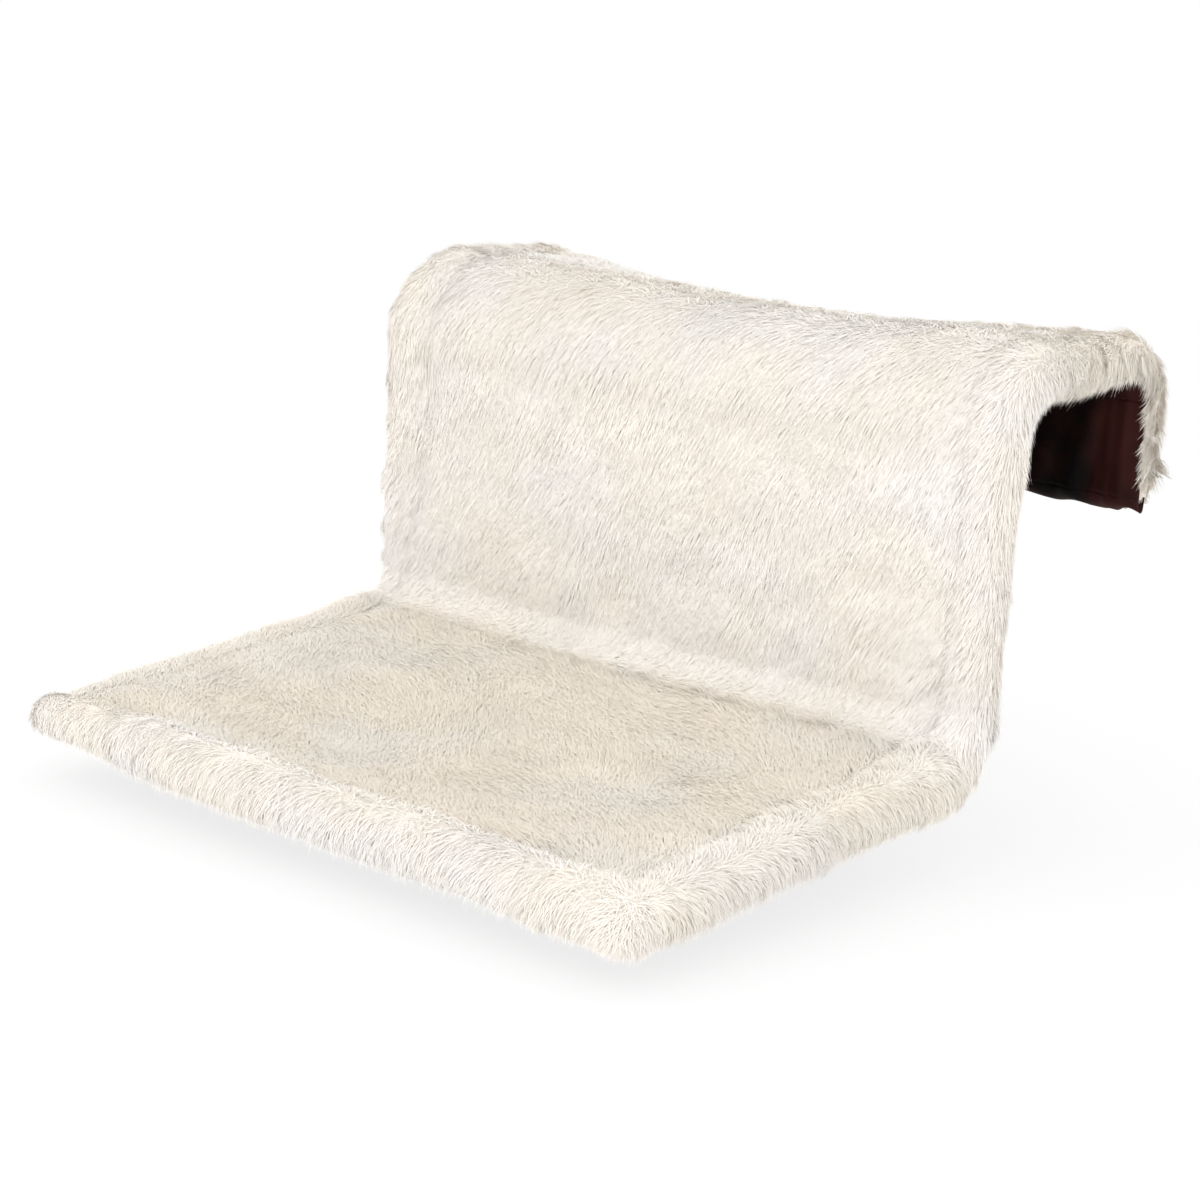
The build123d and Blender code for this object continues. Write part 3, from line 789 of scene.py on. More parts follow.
class Roots:
    """Places on a grid of cloth where locks of pile grow, with the directions of the cloth there."""

    def __init__(self, points, count, rng, weight=None, closed=False):
        along, across, outward = grid_frame(points)
        if closed:
            wrapped = np.concatenate([points[:, -1:], points, points[:, :1]], 1)
            across = unit(wrapped[:, 2:] - wrapped[:, :-2])
            outward = unit(np.cross(across, along))
            points, along, across, outward = (
                np.concatenate([grid, grid[:, :1]], 1) for grid in (points, along, across, outward)
            )
        first = points[1:, :-1] - points[:-1, :-1]
        second = points[:-1, 1:] - points[:-1, :-1]
        area = np.linalg.norm(np.cross(first, second), axis=-1)
        self.area = float(area.sum())
        chance = area if weight is None else area * weight
        chance = chance.ravel() / chance.sum()
        cells = rng.choice(len(chance), count, p=chance)
        rows, columns = np.divmod(cells, points.shape[1] - 1)
        down, side = rng.random((2, count))
        self.row = rows + down
        self.column = columns + side

        def between(grid):
            down_share, side_share = down[:, None], side[:, None]
            upper = grid[rows, columns] * (1 - side_share) + grid[rows, columns + 1] * side_share
            lower = grid[rows + 1, columns] * (1 - side_share) + grid[rows + 1, columns + 1] * side_share
            return upper * (1 - down_share) + lower * down_share

        self.place = between(points)
        self.along = unit(between(along))
        self.across = unit(between(across))
        self.out = unit(between(outward))
        self.fall = np.array([0, 0, -1.0]) + self.out * self.out[:, 2:]


def scatter(points, rng, weight=None, closed=False):
    """Roots of as many locks as the cloth's area asks for."""
    area = Roots(points, 1, rng, weight, closed).area
    return Roots(points, int(area * 1e4 * bpy.context.scene.pile_look.per_area), rng, weight, closed)


def swirl_of(roots, scale, shifts):
    """Slow change of the way that the locks lie."""
    return np.stack([soft_noise(roots.place, scale, shift) for shift in shifts], -1)


def tufts_of(roots):
    """1 where the locks gather in tufts and 0 elsewhere."""
    return smooth_step(soft_noise(roots.place, 120, 57.0), 0.2, 0.5)


def clumped(roots, tips, share, rng):
    """Tips drawn towards the tip of the nearest guide lock."""
    guides = rng.choice(len(roots), max(len(roots) // guide_every, 1), replace=False)
    tree = kdtree.KDTree(len(guides))
    for number, guide in enumerate(guides.tolist()):
        tree.insert(roots[guide].tolist(), number)
    tree.balance()
    nearest = np.array([tree.find(place)[1] for place in roots.tolist()])
    guide = guides[nearest]
    aim = tips[guide] + (roots - roots[guide]) * 0.25
    return tips + (aim - tips) * share[:, None]


def grow(roots, lay, lift, length, clump, rng):
    """Middle, tip and width of each lock, from the way that it lies, its lift, length and clumping."""
    lay = unit(lay - roots.out * (lay * roots.out).sum(-1, keepdims=True))
    length = length[:, None]
    rise = np.sin(lift)[:, None]
    level = np.cos(lift)[:, None]
    middle = roots.place + (roots.out * np.minimum(rise * 1.3, 1) + lay * level * 0.8) * length * 0.5
    tip = roots.place + (roots.out * rise + lay * level) * length
    tip[:, 2] -= 0.08 * length[:, 0]
    share = np.clip(clump * (1 + 0.6 * rng.normal(size=len(tip))), 0, 0.95)
    tip = clumped(roots.place, tip, share, rng)
    middle = clumped(roots.place, middle, share * 0.35, rng)
    width = bpy.context.scene.pile_look.width * (0.75 + 0.5 * rng.random(len(tip)))
    return middle, tip, width


def lock_mesh(name, root, out, middle, tip, width, tint, rng):
    """Mesh of locks: each is a slim spindle, widest at its middle, with a broad side outwards."""
    count = len(root)
    heading = unit(tip - root)
    side = unit(np.cross(out, heading))
    up = np.cross(heading, side)
    spin = 0.1 * rng.normal(size=(count, 1))
    points = np.empty((count, 5, 3))
    points[:, 0] = root
    points[:, 4] = tip
    for corner in range(3):
        angle = 2 * pi * corner / 3 - pi / 2 + spin
        spoke = side * np.cos(angle) + up * np.sin(angle) * 0.35
        points[:, corner + 1] = middle + spoke * width[:, None] / 2
    lower = [(0, (corner + 1) % 3 + 1, corner + 1) for corner in range(3)]
    upper = [(corner + 1, (corner + 1) % 3 + 1, 4) for corner in range(3)]
    first = (np.arange(count) * 5)[:, None, None]
    corners = (first + np.array(lower + upper)[None]).ravel()
    mesh = bpy.data.meshes.new(name)
    mesh.vertices.add(count * 5)
    mesh.vertices.foreach_set("co", points.astype(np.float32).ravel())
    mesh.loops.add(len(corners))
    mesh.loops.foreach_set("vertex_index", corners.astype(np.int32))
    mesh.polygons.add(count * 6)
    mesh.polygons.foreach_set("loop_start", np.arange(0, len(corners), 3, dtype=np.int32))
    mesh.update(calc_edges=True)
    mesh.validate()
    mesh.shade_smooth()
    ends = np.empty(len(mesh.edges) * 2, dtype=np.int32)
    mesh.edges.foreach_get("vertices", ends)
    low, high = np.sort(ends.reshape(-1, 2) % 5, axis=1).T
    outwards = np.tile(np.repeat([-1, 1, -1, -1, 1, -1], 3), count)[:, None]
    store(mesh, "sharp_edge", "BOOLEAN", "EDGE", np.isin(low * 10 + high, (2, 3, 24, 34)))
    store(mesh, "custom_normal", "FLOAT_VECTOR", "CORNER", outwards * np.repeat(out, 18, 0))
    store(mesh, "along", "FLOAT", "POINT", np.tile([0, 0.5, 0.5, 0.5, 1], count))
    store(mesh, "tint", "FLOAT_VECTOR", "POINT", np.repeat(tint, 5, 0))
    return mesh


def pile_pieces(roots, locks, tint, groups, rng):
    """Pieces of pile, each small enough to handle, named for the part of the bed that they cover."""
    for group in sorted(set(groups)):
        members = np.flatnonzero(groups == group)
        parts = int(np.ceil(len(members) / piece_locks))
        members = members[np.argsort(roots.place[members, 0], kind="stable")]
        for number, part in enumerate(np.array_split(members, parts)):
            label = f"pile_{group}" if parts == 1 else f"pile_{group}_{number + 1}"
            chosen = [values[part] for values in (roots.place, roots.out, *locks, tint)]
            link_piece(label, lock_mesh(label, *chosen, rng), bpy.data.materials["plush_pile"])


def cover_pile():
    """Pile of the cover: it lies to the left, rearwards on the seat and the hook and down on the back."""
    pile = bpy.context.scene.pile_look
    rng = np.random.default_rng(pile.seed)
    along, points = cover_points()
    roots = scatter(points, rng)
    count = len(roots.place)
    distance = np.interp(roots.row, np.arange(len(along)), along)
    column = roots.column / (points.shape[1] - 1)
    outer = np.minimum(column, 1 - column)
    rail_share = roll_steps / points.shape[1]
    on_roll = outer < rail_share * 0.94
    on_seat = 1 - smooth_step(distance, *seat_stretch)
    on_hook = smooth_step(distance, *hook_stretch)
    on_leg = smooth_step(distance, *leg_stretch)
    on_side = smooth_step(-outer, -rail_share * 1.3, -rail_share * 0.6)
    outer_side = smooth_step(-outer, -rail_share * 0.7, -rail_share * 0.35)[:, None]

    # The way that the locks lie, looser where the nap parts over the arch
    onwards = nap_onwards * on_seat + (1 - on_seat) * (0.95 * on_hook * (1 - on_side) - nap_onwards)
    lay = roots.along * onwards[:, None] - nap_left
    outward = np.sign(roots.place[:, :1]) * np.array([0.3, 0, 0])
    lay = lay * (1 - 0.6 * outer_side) + outward * outer_side
    lay = lay + roots.fall * nap_down + swirl_of(roots, 14, cover_swirls) * nap_swirl
    to_edge = roots.across * np.sign(column - 0.5)[:, None]
    lay = lay + to_edge * 1.3 * (1 - smooth_step(outer, 0.01, 0.09))[:, None]
    parting = near(distance, rail.arm_start, parting_width)[:, None]
    lay = lay + rng.normal(size=lay.shape) * (0.18 + 0.35 * parting)

    # Locks stand up more, and in tufts, on the rolls, the hook and the fold behind the seat
    lift = pile.lift * (1 + 0.35 * soft_noise(roots.place, 40, 51.0) + 0.2 * rng.normal(size=count))
    fold = near(distance, rail.seat_end, fold_width)
    loose = np.maximum(np.maximum(on_side, on_hook), 0.9 * fold)
    lift = lift * (np.maximum(0.6 + 0.4 * on_seat, 0.95 * loose) + 0.7 * on_leg * on_side)
    arch_side = smooth_step(distance, *shoulder_stretch) * (distance < rail.arm_start)
    spiky = loose - 0.5 * on_hook * (1 - on_side) + 1.4 * on_leg * on_side
    tuft = tufts_of(roots) * (spiky + arch_side * smooth_step(-outer, -0.06, -0.01))
    lift = np.clip(lift + tuft_lift * tuft, lowest_lift, highest_lift)

    # Locks are shorter at the cover's edges, and longer beside the arch and the rear legs
    length = pile.length * (1 + 0.3 * soft_noise(roots.place, 30, 71.0) + 0.15 * rng.normal(size=count))
    length = np.clip(length * np.where(on_roll, 0.85, 1), shortest_lock, longest_lock)
    edge = smooth_step(outer, 0, 0.03)
    length = length * (0.4 + 0.6 * edge + (1.1 * arch_side + 0.6 * on_leg) * (1 - edge))
    length = length * (0.6 + 0.4 * smooth_step(distance, *front_stretch))
    length = length * (1 - 0.7 * smooth_step(distance, *foot_stretch))
    locks = grow(roots, lay, lift, length, pile.clump * (0.25 + 0.25 * loose + tuft), rng)

    tone = np.clip(1 + 0.012 * rng.normal(size=count) + 0.02 * soft_noise(roots.place, 60, 91.0), 0.9, 1.02)
    tone = tone + 0.06 * on_seat * soft_noise(roots.place * np.array([1, 2, 1]), 16, 33.0)
    # Share of the seat's painted shade, kept in each lock's tint: full on the seat, less on the hook
    painted_shade_share = on_seat * (1 - 0.6 * on_side) + on_hook * (0.2 + 0.5 * on_side)
    tint = tone[:, None] * (1 + np.clip(painted_shade_share, 0, 1)[:, None] * (np.array(seat_painted_shade) - 1))
    groups = np.full(count, "hook", dtype=object)
    groups[distance < rail.arm_start] = "back"
    groups[distance < (rail.seat_end + rail.back_start) / 2] = "seat"
    groups[on_roll & (roots.place[:, 0] > 0)] = "right_roll"
    groups[on_roll & (roots.place[:, 0] < 0)] = "left_roll"
    pile_pieces(roots, locks, tint, groups, rng)


def front_pile():
    """Pile of the front roll: it hangs down round the roll, and lies inwards at its ends."""
    pile = bpy.context.scene.pile_look
    rng = np.random.default_rng(pile.seed + 1)
    points = front_roll_points()
    weight = 1 + 1.5 * smooth_step(np.abs(points[:-1, :, 0]), *crowded_ends)
    roots = scatter(points, rng, weight, closed=True)
    count = len(roots.place)
    near_end = smooth_step(np.abs(roots.place[:, :1]), *turned_ends)
    inwards = -np.sign(roots.place[:, :1]) * near_end * np.array([0.7, 0, 0])
    swirl = swirl_of(roots, 16, front_swirls)
    lay = np.array([-0.15, 0.1, 0]) + inwards + roots.fall * 0.9 + swirl * nap_swirl
    lay = lay + rng.normal(size=(count, 3)) * (0.24 + 0.4 * near_end)
    under = smooth_step(-roots.out[:, 2], 0, 0.8)
    tuft = tufts_of(roots)
    lift = pile.lift * (0.6 - 0.25 * under) * (1 + 0.2 * rng.normal(size=count)) + front_tuft_lift * tuft
    lift = np.clip(lift, lowest_front_lift, highest_lift)
    length = pile.length * 0.85 * (1 - 0.35 * under) * (1 + 0.18 * rng.normal(size=count))
    length = length * (1 - 0.3 * smooth_step(-roots.place[:, 0], *slim_part))
    length = np.clip(length, shortest_lock, longest_front_lock)
    locks = grow(roots, lay, lift, length, pile.clump * (0.2 + 0.8 * tuft), rng)
    # Each lock's tint: random tone, dimmed a little by painted shade
    tint = np.tile(front_painted_shade * np.clip(1 + 0.015 * rng.normal(size=(count, 1)), 0.9, 1.02), (1, 3))
    pile_pieces(roots, locks, tint, np.full(count, "front_roll", dtype=object), rng)


class CatBedPile(bpy.types.Operator):
    """Grow the pile on the plush"""

    bl_idname = "object.cat_bed_pile"
    bl_label = "Pile"

    def execute(self, context):
        pile_material()
        cover_pile()
        front_pile()
        return {"FINISHED"}


# Lining

zip_along = 42 * mm
zip_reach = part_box("zip_tape_rear")[1].y - middle_of("zip_slider").y
tape_gap = 0.3 * mm
flap_start = rail.leg_start
lining_thickness = 0.5 * mm
lining_sag = 8 * mm
sag_stretch = (zip_along + 12 * mm, rail.seat_end - corner_lap)
ripple_height = 1.6 * mm

# Folds of the flap: pitch in metres, shift and weight of each wave
fold_waves = ((0.062, 0.4, 0.6), (0.035, 2.1, 0.45), (0.021, 4.4, 0.2))

# Height of the folds, how far in they stand and their limits, in millimetres, and how far they lean
fold_height = 5.5
fold_inwards = 1.2
fold_limits = (-7, 2.5)
fold_lean = 12 * mm

# Fine pleats beside the rear legs, where the folds have less room
pleats_each_side = 24
pleat_height = 0.8
tight_sides = (side_x - 14 * mm, side_x - 3 * mm)

# Where the lining gets a painted highlight, over the rear legs' rolls: across the bed and rearwards
highlight_across = (side_x - 26 * mm, side_x - 10 * mm)
highlight_rearwards = (rail.y[-1] - 60 * mm, rail.y[-1] - 16 * mm)

# Hem: how far it hangs down, how its edge waves and how much its rear side stands higher
hem_drop = 11 * mm
hem_wave = 2.5 * mm
hem_rise = 2 * mm
hem_rows = 15
hem_gap = 1.5 * mm


def lining_section(along, columns):
    """Cross-sections of the lining: flat between the tubes, and round the inner half of the rear legs."""
    along = along[:, None]
    edge = under_edge_at(along)
    corner = np.minimum(edge, -pi / 2)
    radius = np.where(along < rail.arm_start, roll_radius, hook_roll_radius)
    flat_end = side_x + radius * np.cos(corner) - 0.3 * mm
    reach = (flat_end + radius * (edge - corner)) * np.linspace(-1, 1, columns)[None]
    past = np.clip(np.abs(reach) - flat_end, 0, None)
    angle = corner + past / radius
    flat = past <= 0
    x = np.where(flat, reach, np.sign(reach) * (side_x + radius * np.cos(angle)))
    off = np.where(flat, lining_off, np.maximum(radius * np.sin(angle), lining_off))
    return x, off


def fold_wave(x):
    """Side to side swing of the folds in the flap, from about -1 to 1."""
    return sum(weight * np.sin(2 * pi * x / pitch + shift) for pitch, shift, weight in fold_waves)


def lining_points(start, stop, columns=131, spacing=3 * mm):
    """Grid of points of the lining from one place along the tubes to another."""
    along = np.linspace(start, stop, max(int((stop - start) / spacing), 4))
    x, off = lining_section(along, columns)
    share = np.abs(x) / side_x
    inward = np.clip(1 - share ** 2, 0, 1)
    off = off - lining_sag * arch(along[:, None], *sag_stretch) * inward
    points = rail.place(x, along[:, None], off)
    outward = grid_frame(points)[2]
    ripple = np.abs(soft_noise(points, 17, 61.0) + 0.5 * soft_noise(points, 48, 67.0))
    ends = smooth_step(along - start, 0, 8 * mm) * smooth_step(stop - along, 0, 4 * mm)
    inner = smooth_step(1 - share, 0, 0.12) * ends[:, None]
    points = points + outward * (ripple_height * ripple * inner)[..., None]
    hang = np.clip((along - flap_start) / (rail.leg_end - flap_start), 0, 1)[:, None] ** 0.7
    room = 1 - 0.7 * smooth_step(np.abs(x), *tight_sides)
    folds = np.clip(fold_wave(x + fold_lean * hang) * fold_height - fold_inwards, *fold_limits)
    swing = folds * (0.15 + hang) * room
    turns = np.linspace(-pleats_each_side, pleats_each_side, columns)
    pleats = pleat_height * np.sin(2 * pi * turns + 2 * soft_noise(points, 30, 33.0)) * (1.1 - room)
    swing = (swing + pleats) * smooth_step(along, rail.arm_end, flap_start)[:, None]
    return points + outward * (swing * mm)[..., None]


def front_lining_points():
    """Grid of points of the lining in front of the zip, drawn up where the front roll is slimmer."""
    points = lining_points(0.75 * front_radius, zip_along - zip_reach - tape_gap)
    slim = front_radius - front_radius_at(points[..., 0])
    slim = slim * np.linspace(1, 0, len(points))[:, None]
    points[..., 1] -= 1.6 * slim
    points[..., 2] += slim
    return points


def main_lining_points():
    """Grid of points of the lining from the zip to the rear legs."""
    return lining_points(zip_along + zip_reach + tape_gap, flap_start)


def add_lining(name, points, nodes):
    """Piece of lining, thickened into the bed. It gets a painted highlight in the lining's lit colour where
    it stands up over the rear legs' rolls.
    """
    mesh = mesh_of(name, points, grid_faces(*points.shape[:2])[:, ::-1])
    store_cloth(mesh, points)
    beside = smooth_step(np.abs(points[..., 0]), *highlight_across)
    crest_highlight = beside * smooth_step(points[..., 1], *highlight_rearwards)
    store(mesh, "crest_highlight", "FLOAT", "POINT", crest_highlight * (0.75 + 0.5 * soft_noise(points, 70, 15.0)))
    piece = link_piece(name, mesh, bpy.data.materials["brown_lining"])
    thicken(piece, lining_thickness)
    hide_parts(*nodes)


def hem_points(flap):
    """Grid of points of the hem, from the flap's lower edge round to the plush."""
    lower = flap[-1]
    swing = lower[:, 1] - (leg_y + lining_off)
    middle_off = np.clip((np.abs(lower[:, 0]) - side_x) / (8 * mm), 0, 1)
    outer = leg_y - (lining_off + hem_gap) * (1 - middle_off)
    waves = hem_wave * fold_wave(lower[:, 0] * 0.6)
    rows = [lower]
    for angle in np.linspace(0, pi, hem_rows)[1:]:
        share = (1 - cos(angle)) / 2
        droop = (hem_drop * (1 - 0.5 * middle_off) + waves + 0.3 * swing) * sin(angle)
        row = lower.copy()
        row[:, 1] += (np.maximum(outer, lower[:, 1] + 1 * mm) - lower[:, 1]) * share
        row[:, 2] += hem_rise * share * (1 - middle_off) - droop
        rows.append(row)
    return np.stack(rows)


class CatBedLining(bpy.types.Operator):
    """Line the cover towards the radiator"""

    bl_idname = "object.cat_bed_lining"
    bl_label = "Lining"

    def execute(self, context):
        lining_material("brown_lining")
        add_lining("lining_front", front_lining_points(), ["front_lining"])
        nodes = ["seat_lining", "corner_lining", "back_lining", "hook_lining"]
        add_lining("lining_main", main_lining_points(), nodes)
        flap = lining_points(flap_start, rail.leg_end, 241, 1.5 * mm)
        add_lining("lining_flap", flap, ["flap_lining"])
        add_lining("lining_hem", hem_points(flap), ["flap_hem"])
        return {"FINISHED"}


# Stitches

stitch_sides = 6
stitch_rings = 5
seam_places = (rail.seat_end - corner_lap, rail.back_start + 12 * mm, rail.back_end - 6 * mm)
seam_half_gap = 2.4 * mm


def stitches_along(points, outward, pitch, length, thickness):
    """Points of stitches along a line of points, each a slim spindle that dips in at both ends."""
    steps = np.linalg.norm(np.diff(points, axis=0), axis=1)
    distance = np.concatenate([[0], np.cumsum(steps)])
    centres = np.arange(pitch / 2, distance[-1], pitch)[:, None]
    rings = np.linspace(-1, 1, stitch_rings)
    spots = centres + length / 2 * rings
    at = np.stack([np.interp(spots, distance, points[:, axis]) for axis in range(3)], -1)
    out = np.stack([np.interp(centres, distance, outward[:, axis]) for axis in range(3)], -1)
    side = np.cross(unit(at[:, -1:] - at[:, :1]), out)
    lifted = at + out * (thickness * (0.55 * (1 - rings ** 2) - 0.25))[:, None]
    angle = (2 * pi * np.arange(stitch_sides) / stitch_sides)[:, None]
    spokes = side[:, :, None] * np.cos(angle) + out[:, :, None] * np.sin(angle)
    girth = thickness / 2 * np.maximum(np.cos(rings * pi / 2), 0.25)
    return lifted[:, :, None] + spokes * girth[:, None, None]


def add_stitches(name, lines, material, pitch=4 * mm, length=2.8 * mm, thickness=0.55 * mm):
    """Piece with stitches along several lines, each a row of points and the way out of the cloth."""
    stitches = [stitches_along(points, outward, pitch, length, thickness) for points, outward in lines]
    link_piece(name, tubes_mesh(name, np.concatenate(stitches), turned=True), material)


def seam_lines():
    """Rows of stitches of the lining, across where its panels join."""
    main = main_lining_points()
    outward = -grid_frame(main)[2]
    spread = np.linspace(zip_along + zip_reach, flap_start, len(main))
    places = [seam + shift for seam in seam_places for shift in (-seam_half_gap, seam_half_gap)]
    rows = [int(np.argmin(np.abs(spread - place))) for place in places]
    return [(main[row, 3:-3], outward[row, 3:-3]) for row in rows]


def zip_lines():
    """Rows of stitches of the zip's tapes, two on each."""
    x = np.linspace(-zip_half, zip_half, 80)
    lines = []
    for reach in (-0.45, -0.9, 0.45, 0.9):
        along = zip_along + zip_reach * reach
        points = rail.place(x, np.full(80, along), lining_off)
        lines.append((points, np.tile(-rail.normal(along), (80, 1))))
    return lines


class CatBedStitches(bpy.types.Operator):
    """Sew the lining's seams"""

    bl_idname = "object.cat_bed_stitches"
    bl_label = "Stitches"

    def execute(self, context):
        # The thread's colour is the lining's lit colour
        thread = plastic_material("sewing_thread", context.scene.bed_colours.lining_lit, worn_thread, 0.6)
        add_stitches("lining_stitches", seam_lines(), thread)
        add_stitches("zip_stitches", zip_lines(), thread, 3 * mm, 2.1 * mm, 0.4 * mm)
        return {"FINISHED"}


# Zip

tape_inner = 2.5 * mm
tape_outer = zip_reach - 0.2 * mm
tape_thickness = 0.5 * mm
zip_brown = (0.06, 0.025, 0.02)
zip_brown_light = (0.10, 0.05, 0.04)

# Zip tooth: distance along the zip, out from its middle and through its thickness
tooth_pitch = 2.2 * mm
tooth_half_length = 0.62 * mm
tooth_inner = 0.7 * mm
tooth_outer = 2.4 * mm
tooth_half_thick = 1.05 * mm

# A tooth's outline from foot to head by share of its half length, and its levels by share of its size
tooth_outline = (
    (tooth_outer, 1.0), (1.7 * mm, 0.95), (1.35 * mm, 0.6), (1.0 * mm, 0.9), (tooth_inner, 0.55),
)
tooth_levels = ((-1, 0.75), (-0.7, 1.0), (0.7, 1.0), (1, 0.75))


def tape_points(low_x, high_x, side):
    """Grid of points of a tape. Its inner edge closes up past the end stops."""
    stops_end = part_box("zip_stops")[1].x
    x = np.linspace(low_x, high_x, 130)[None]
    share = np.linspace(0, 1, 9)[:, None]
    inner = tape_inner - 2.2 * mm * smooth_step(np.abs(x), stops_end, stops_end + 3 * mm)
    along = zip_along + side * (inner + (tape_outer - inner) * share)
    wave = 0.25 * mm * np.sin(x / (9 * mm)) * share
    return rail.place(x, along, lining_off + 0.1 * mm + np.abs(wave))


def zip_teeth(name, side, material):
    """Row of moulded teeth: each has a wide foot, a neck and a rounded head."""
    outline = np.array(tooth_outline)
    reach, half = np.concatenate([outline, outline[::-1] * np.array([1, -1])]).T
    level, size = np.array(tooth_levels).T[..., None]
    out = rail.normal(zip_along)
    forward = np.array([0, out[2], -out[1]])
    centre = (tooth_inner + tooth_outer) / 2
    across = centre + (reach - centre) * (0.5 + 0.5 * size)
    tooth = rail.place(0.0, np.array(zip_along), lining_off + 0.4 * mm) + forward * side * across[..., None]
    tooth = tooth + out * level[..., None] * tooth_half_thick
    tooth[..., 0] += half * size * tooth_half_length
    shift = tooth_pitch / 2 if side > 0 else 0
    x = np.arange(-zip_half + tooth_pitch / 2 + shift, zip_half - tooth_half_length, tooth_pitch)
    teeth = tooth + x[:, None, None, None] * np.array([1.0, 0, 0])
    mesh = tubes_mesh(name, teeth, turned=side > 0)
    mesh.shade_flat()
    return link_piece(name, mesh, material)


class CatBedZip(bpy.types.Operator):
    """Make the zip's tapes and teeth"""

    bl_idname = "object.cat_bed_zip"
    bl_label = "Zip"

    def execute(self, context):
        tape_material = lining_material("zip_tape")
        teeth_material = plastic_material("zip_teeth", zip_brown, zip_brown_light, 0.3)
        for name, side in (("front", -1), ("rear", 1)):
            low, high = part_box("zip_tape_" + name)
            points = tape_points(low.x, high.x, side)
            faces = grid_faces(*points.shape[:2])
            mesh = mesh_of("tape_" + name, points, faces[:, ::-1] if side > 0 else faces)
            store_cloth(mesh, points)
            tape = link_piece("tape_" + name, mesh, tape_material)
            thicken(tape, tape_thickness)
            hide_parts("zip_tape_" + name)
        for name, side in (("front", -1), ("rear", 1)):
            row = zip_teeth("teeth_" + name, side, teeth_material)
            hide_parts("zip_row_" + name)
        return {"FINISHED"}


# Padding inside the cover

sleeve_radius = 8.7 * mm
pad_half_thick = 1.3 * mm
pad_depth = 5 * mm
pad_rows = 46
pad_inset = 9 * mm
seat_pad_stretch = (32 * mm, rail.seat_end - corner_lap)
back_pad_stretch = (rail.back_start + 14 * mm, rail.back_end - 8 * mm)


def add_padding(name, points, nodes, turned=False):
    """Piece of padding made of rings of points."""
    mesh = tubes_mesh(name, points[None], turned)
    piece = link_piece(name, mesh, bpy.data.materials["fibre_wadding"])
    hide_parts(*nodes)


def side_sleeve(side):
    """Rings of a soft sleeve round a side tube."""
    along = np.arange(front_radius + 1 * mm, rail.leg_end, 5 * mm)[:, None]
    angle = np.linspace(0, 2 * pi, 24, endpoint=False)
    points = rail.place(side * side_x + sleeve_radius * np.cos(angle), along, sleeve_radius * np.sin(angle))
    spokes = unit(points - points.mean(1, keepdims=True))
    return points + spokes * (0.4 * mm * soft_noise(points, 90, 5.0))[..., None]


def front_sleeve():
    """Rings of a soft sleeve round the front bar, inside its roll."""
    low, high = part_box("front_padding")
    x = np.linspace(low.x, high.x, 90)[:, None]
    angle = np.linspace(0, 2 * pi, 28, endpoint=False)
    radius = np.minimum(front_radius_at(x) - 2.2 * mm, front_radius - 4 * mm)
    y = front_centre.y + radius * np.cos(angle)
    z = front_centre.z + radius * np.sin(angle) + 0.6 * front_lift_at(x)
    return np.stack(np.broadcast_arrays(x, y, z), -1)


def pad_rings(start, stop):
    """Rings across a flat pad a little under the panels: each goes over the top and back."""
    along = np.linspace(start, stop, pad_rows)[:, None]
    share = np.linspace(-1, 1, 60)
    x = share * (side_x - roll_radius - pad_inset)
    ends = rounded(np.linspace(-1, 1, pad_rows)[:, None], 0.001, 16)
    thick = pad_half_thick * rounded(share, 0.001, 16) * ends
    middle = panel_height(along, np.abs(x) / side_x, -1) - pad_depth
    top = rail.place(x, along, middle + thick)
    under = rail.place(x, along, middle - thick)
    points = np.concatenate([top, under[:, ::-1]], 1)
    return points + (0.35 * mm * soft_noise(points, 70, 9.0))[..., None] * np.array([0, -0.5, 0.5])


class CatBedPadding(bpy.types.Operator):
    """Pad the tubes, the seat and the back"""

    bl_idname = "object.cat_bed_padding"
    bl_label = "Padding"

    def execute(self, context):
        wadding_material()
        for name, side in (("left", -1), ("right", 1)):
            add_padding("sleeve_" + name, side_sleeve(side), ["side_padding_" + name], turned=True)
        add_padding("sleeve_front", front_sleeve(), ["front_padding"])
        add_padding("seat_pad", pad_rings(*seat_pad_stretch), ["seat_wadding"])
        add_padding("back_pad", pad_rings(*back_pad_stretch), ["back_wadding"])
        return {"FINISHED"}


# Frame


class CatBedFrame(bpy.types.Operator):
    """Finish the tubes, fasteners and zip hardware"""

    bl_idname = "object.cat_bed_frame"
    bl_label = "Frame finish"

    def execute(self, context):
        coat = powder_coat_material()
        plated = metal_material("zinc_plate", (0.66, 0.67, 0.69), (0.50, 0.51, 0.53), 0.32)
        nickel = metal_material("antique_nickel", (0.45, 0.42, 0.38), (0.25, 0.22, 0.19), 0.38)
        plastic = plastic_material("cap_plastic", (0.02, 0.02, 0.022), (0.04, 0.04, 0.042), 0.45)
        finishes = {
            coat: ("side_tube_left", "side_tube_right", "front_bar", "corner_bar", "top_bar", "hook_bar"),
            plated: ("frame_screws", "screw_washers", "bar_inserts", "rail_inserts"),
            plastic: ("bar_caps", "rail_plugs", "bar_saddles"),
            nickel: ("zip_stops", "zip_slider", "zip_pull"),
        }
        for material, nodes in finishes.items():
            for node in nodes:
                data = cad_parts[node].data
                data.materials.clear()
                data.materials.append(material)
        return {"FINISHED"}


# Stage

key_place = (0.4, -1.85, 0.7)
key_target = (0, -0.1, -0.12)
key_size = 3.0
floor_half = 12.0
floor_drop = 6 * mm
floor_grey = (0.9, 0.9, 0.9)

# Distances from the middle of the floor between which its shadow fades into white
shadow_end = 0.4
white_start = 1.4


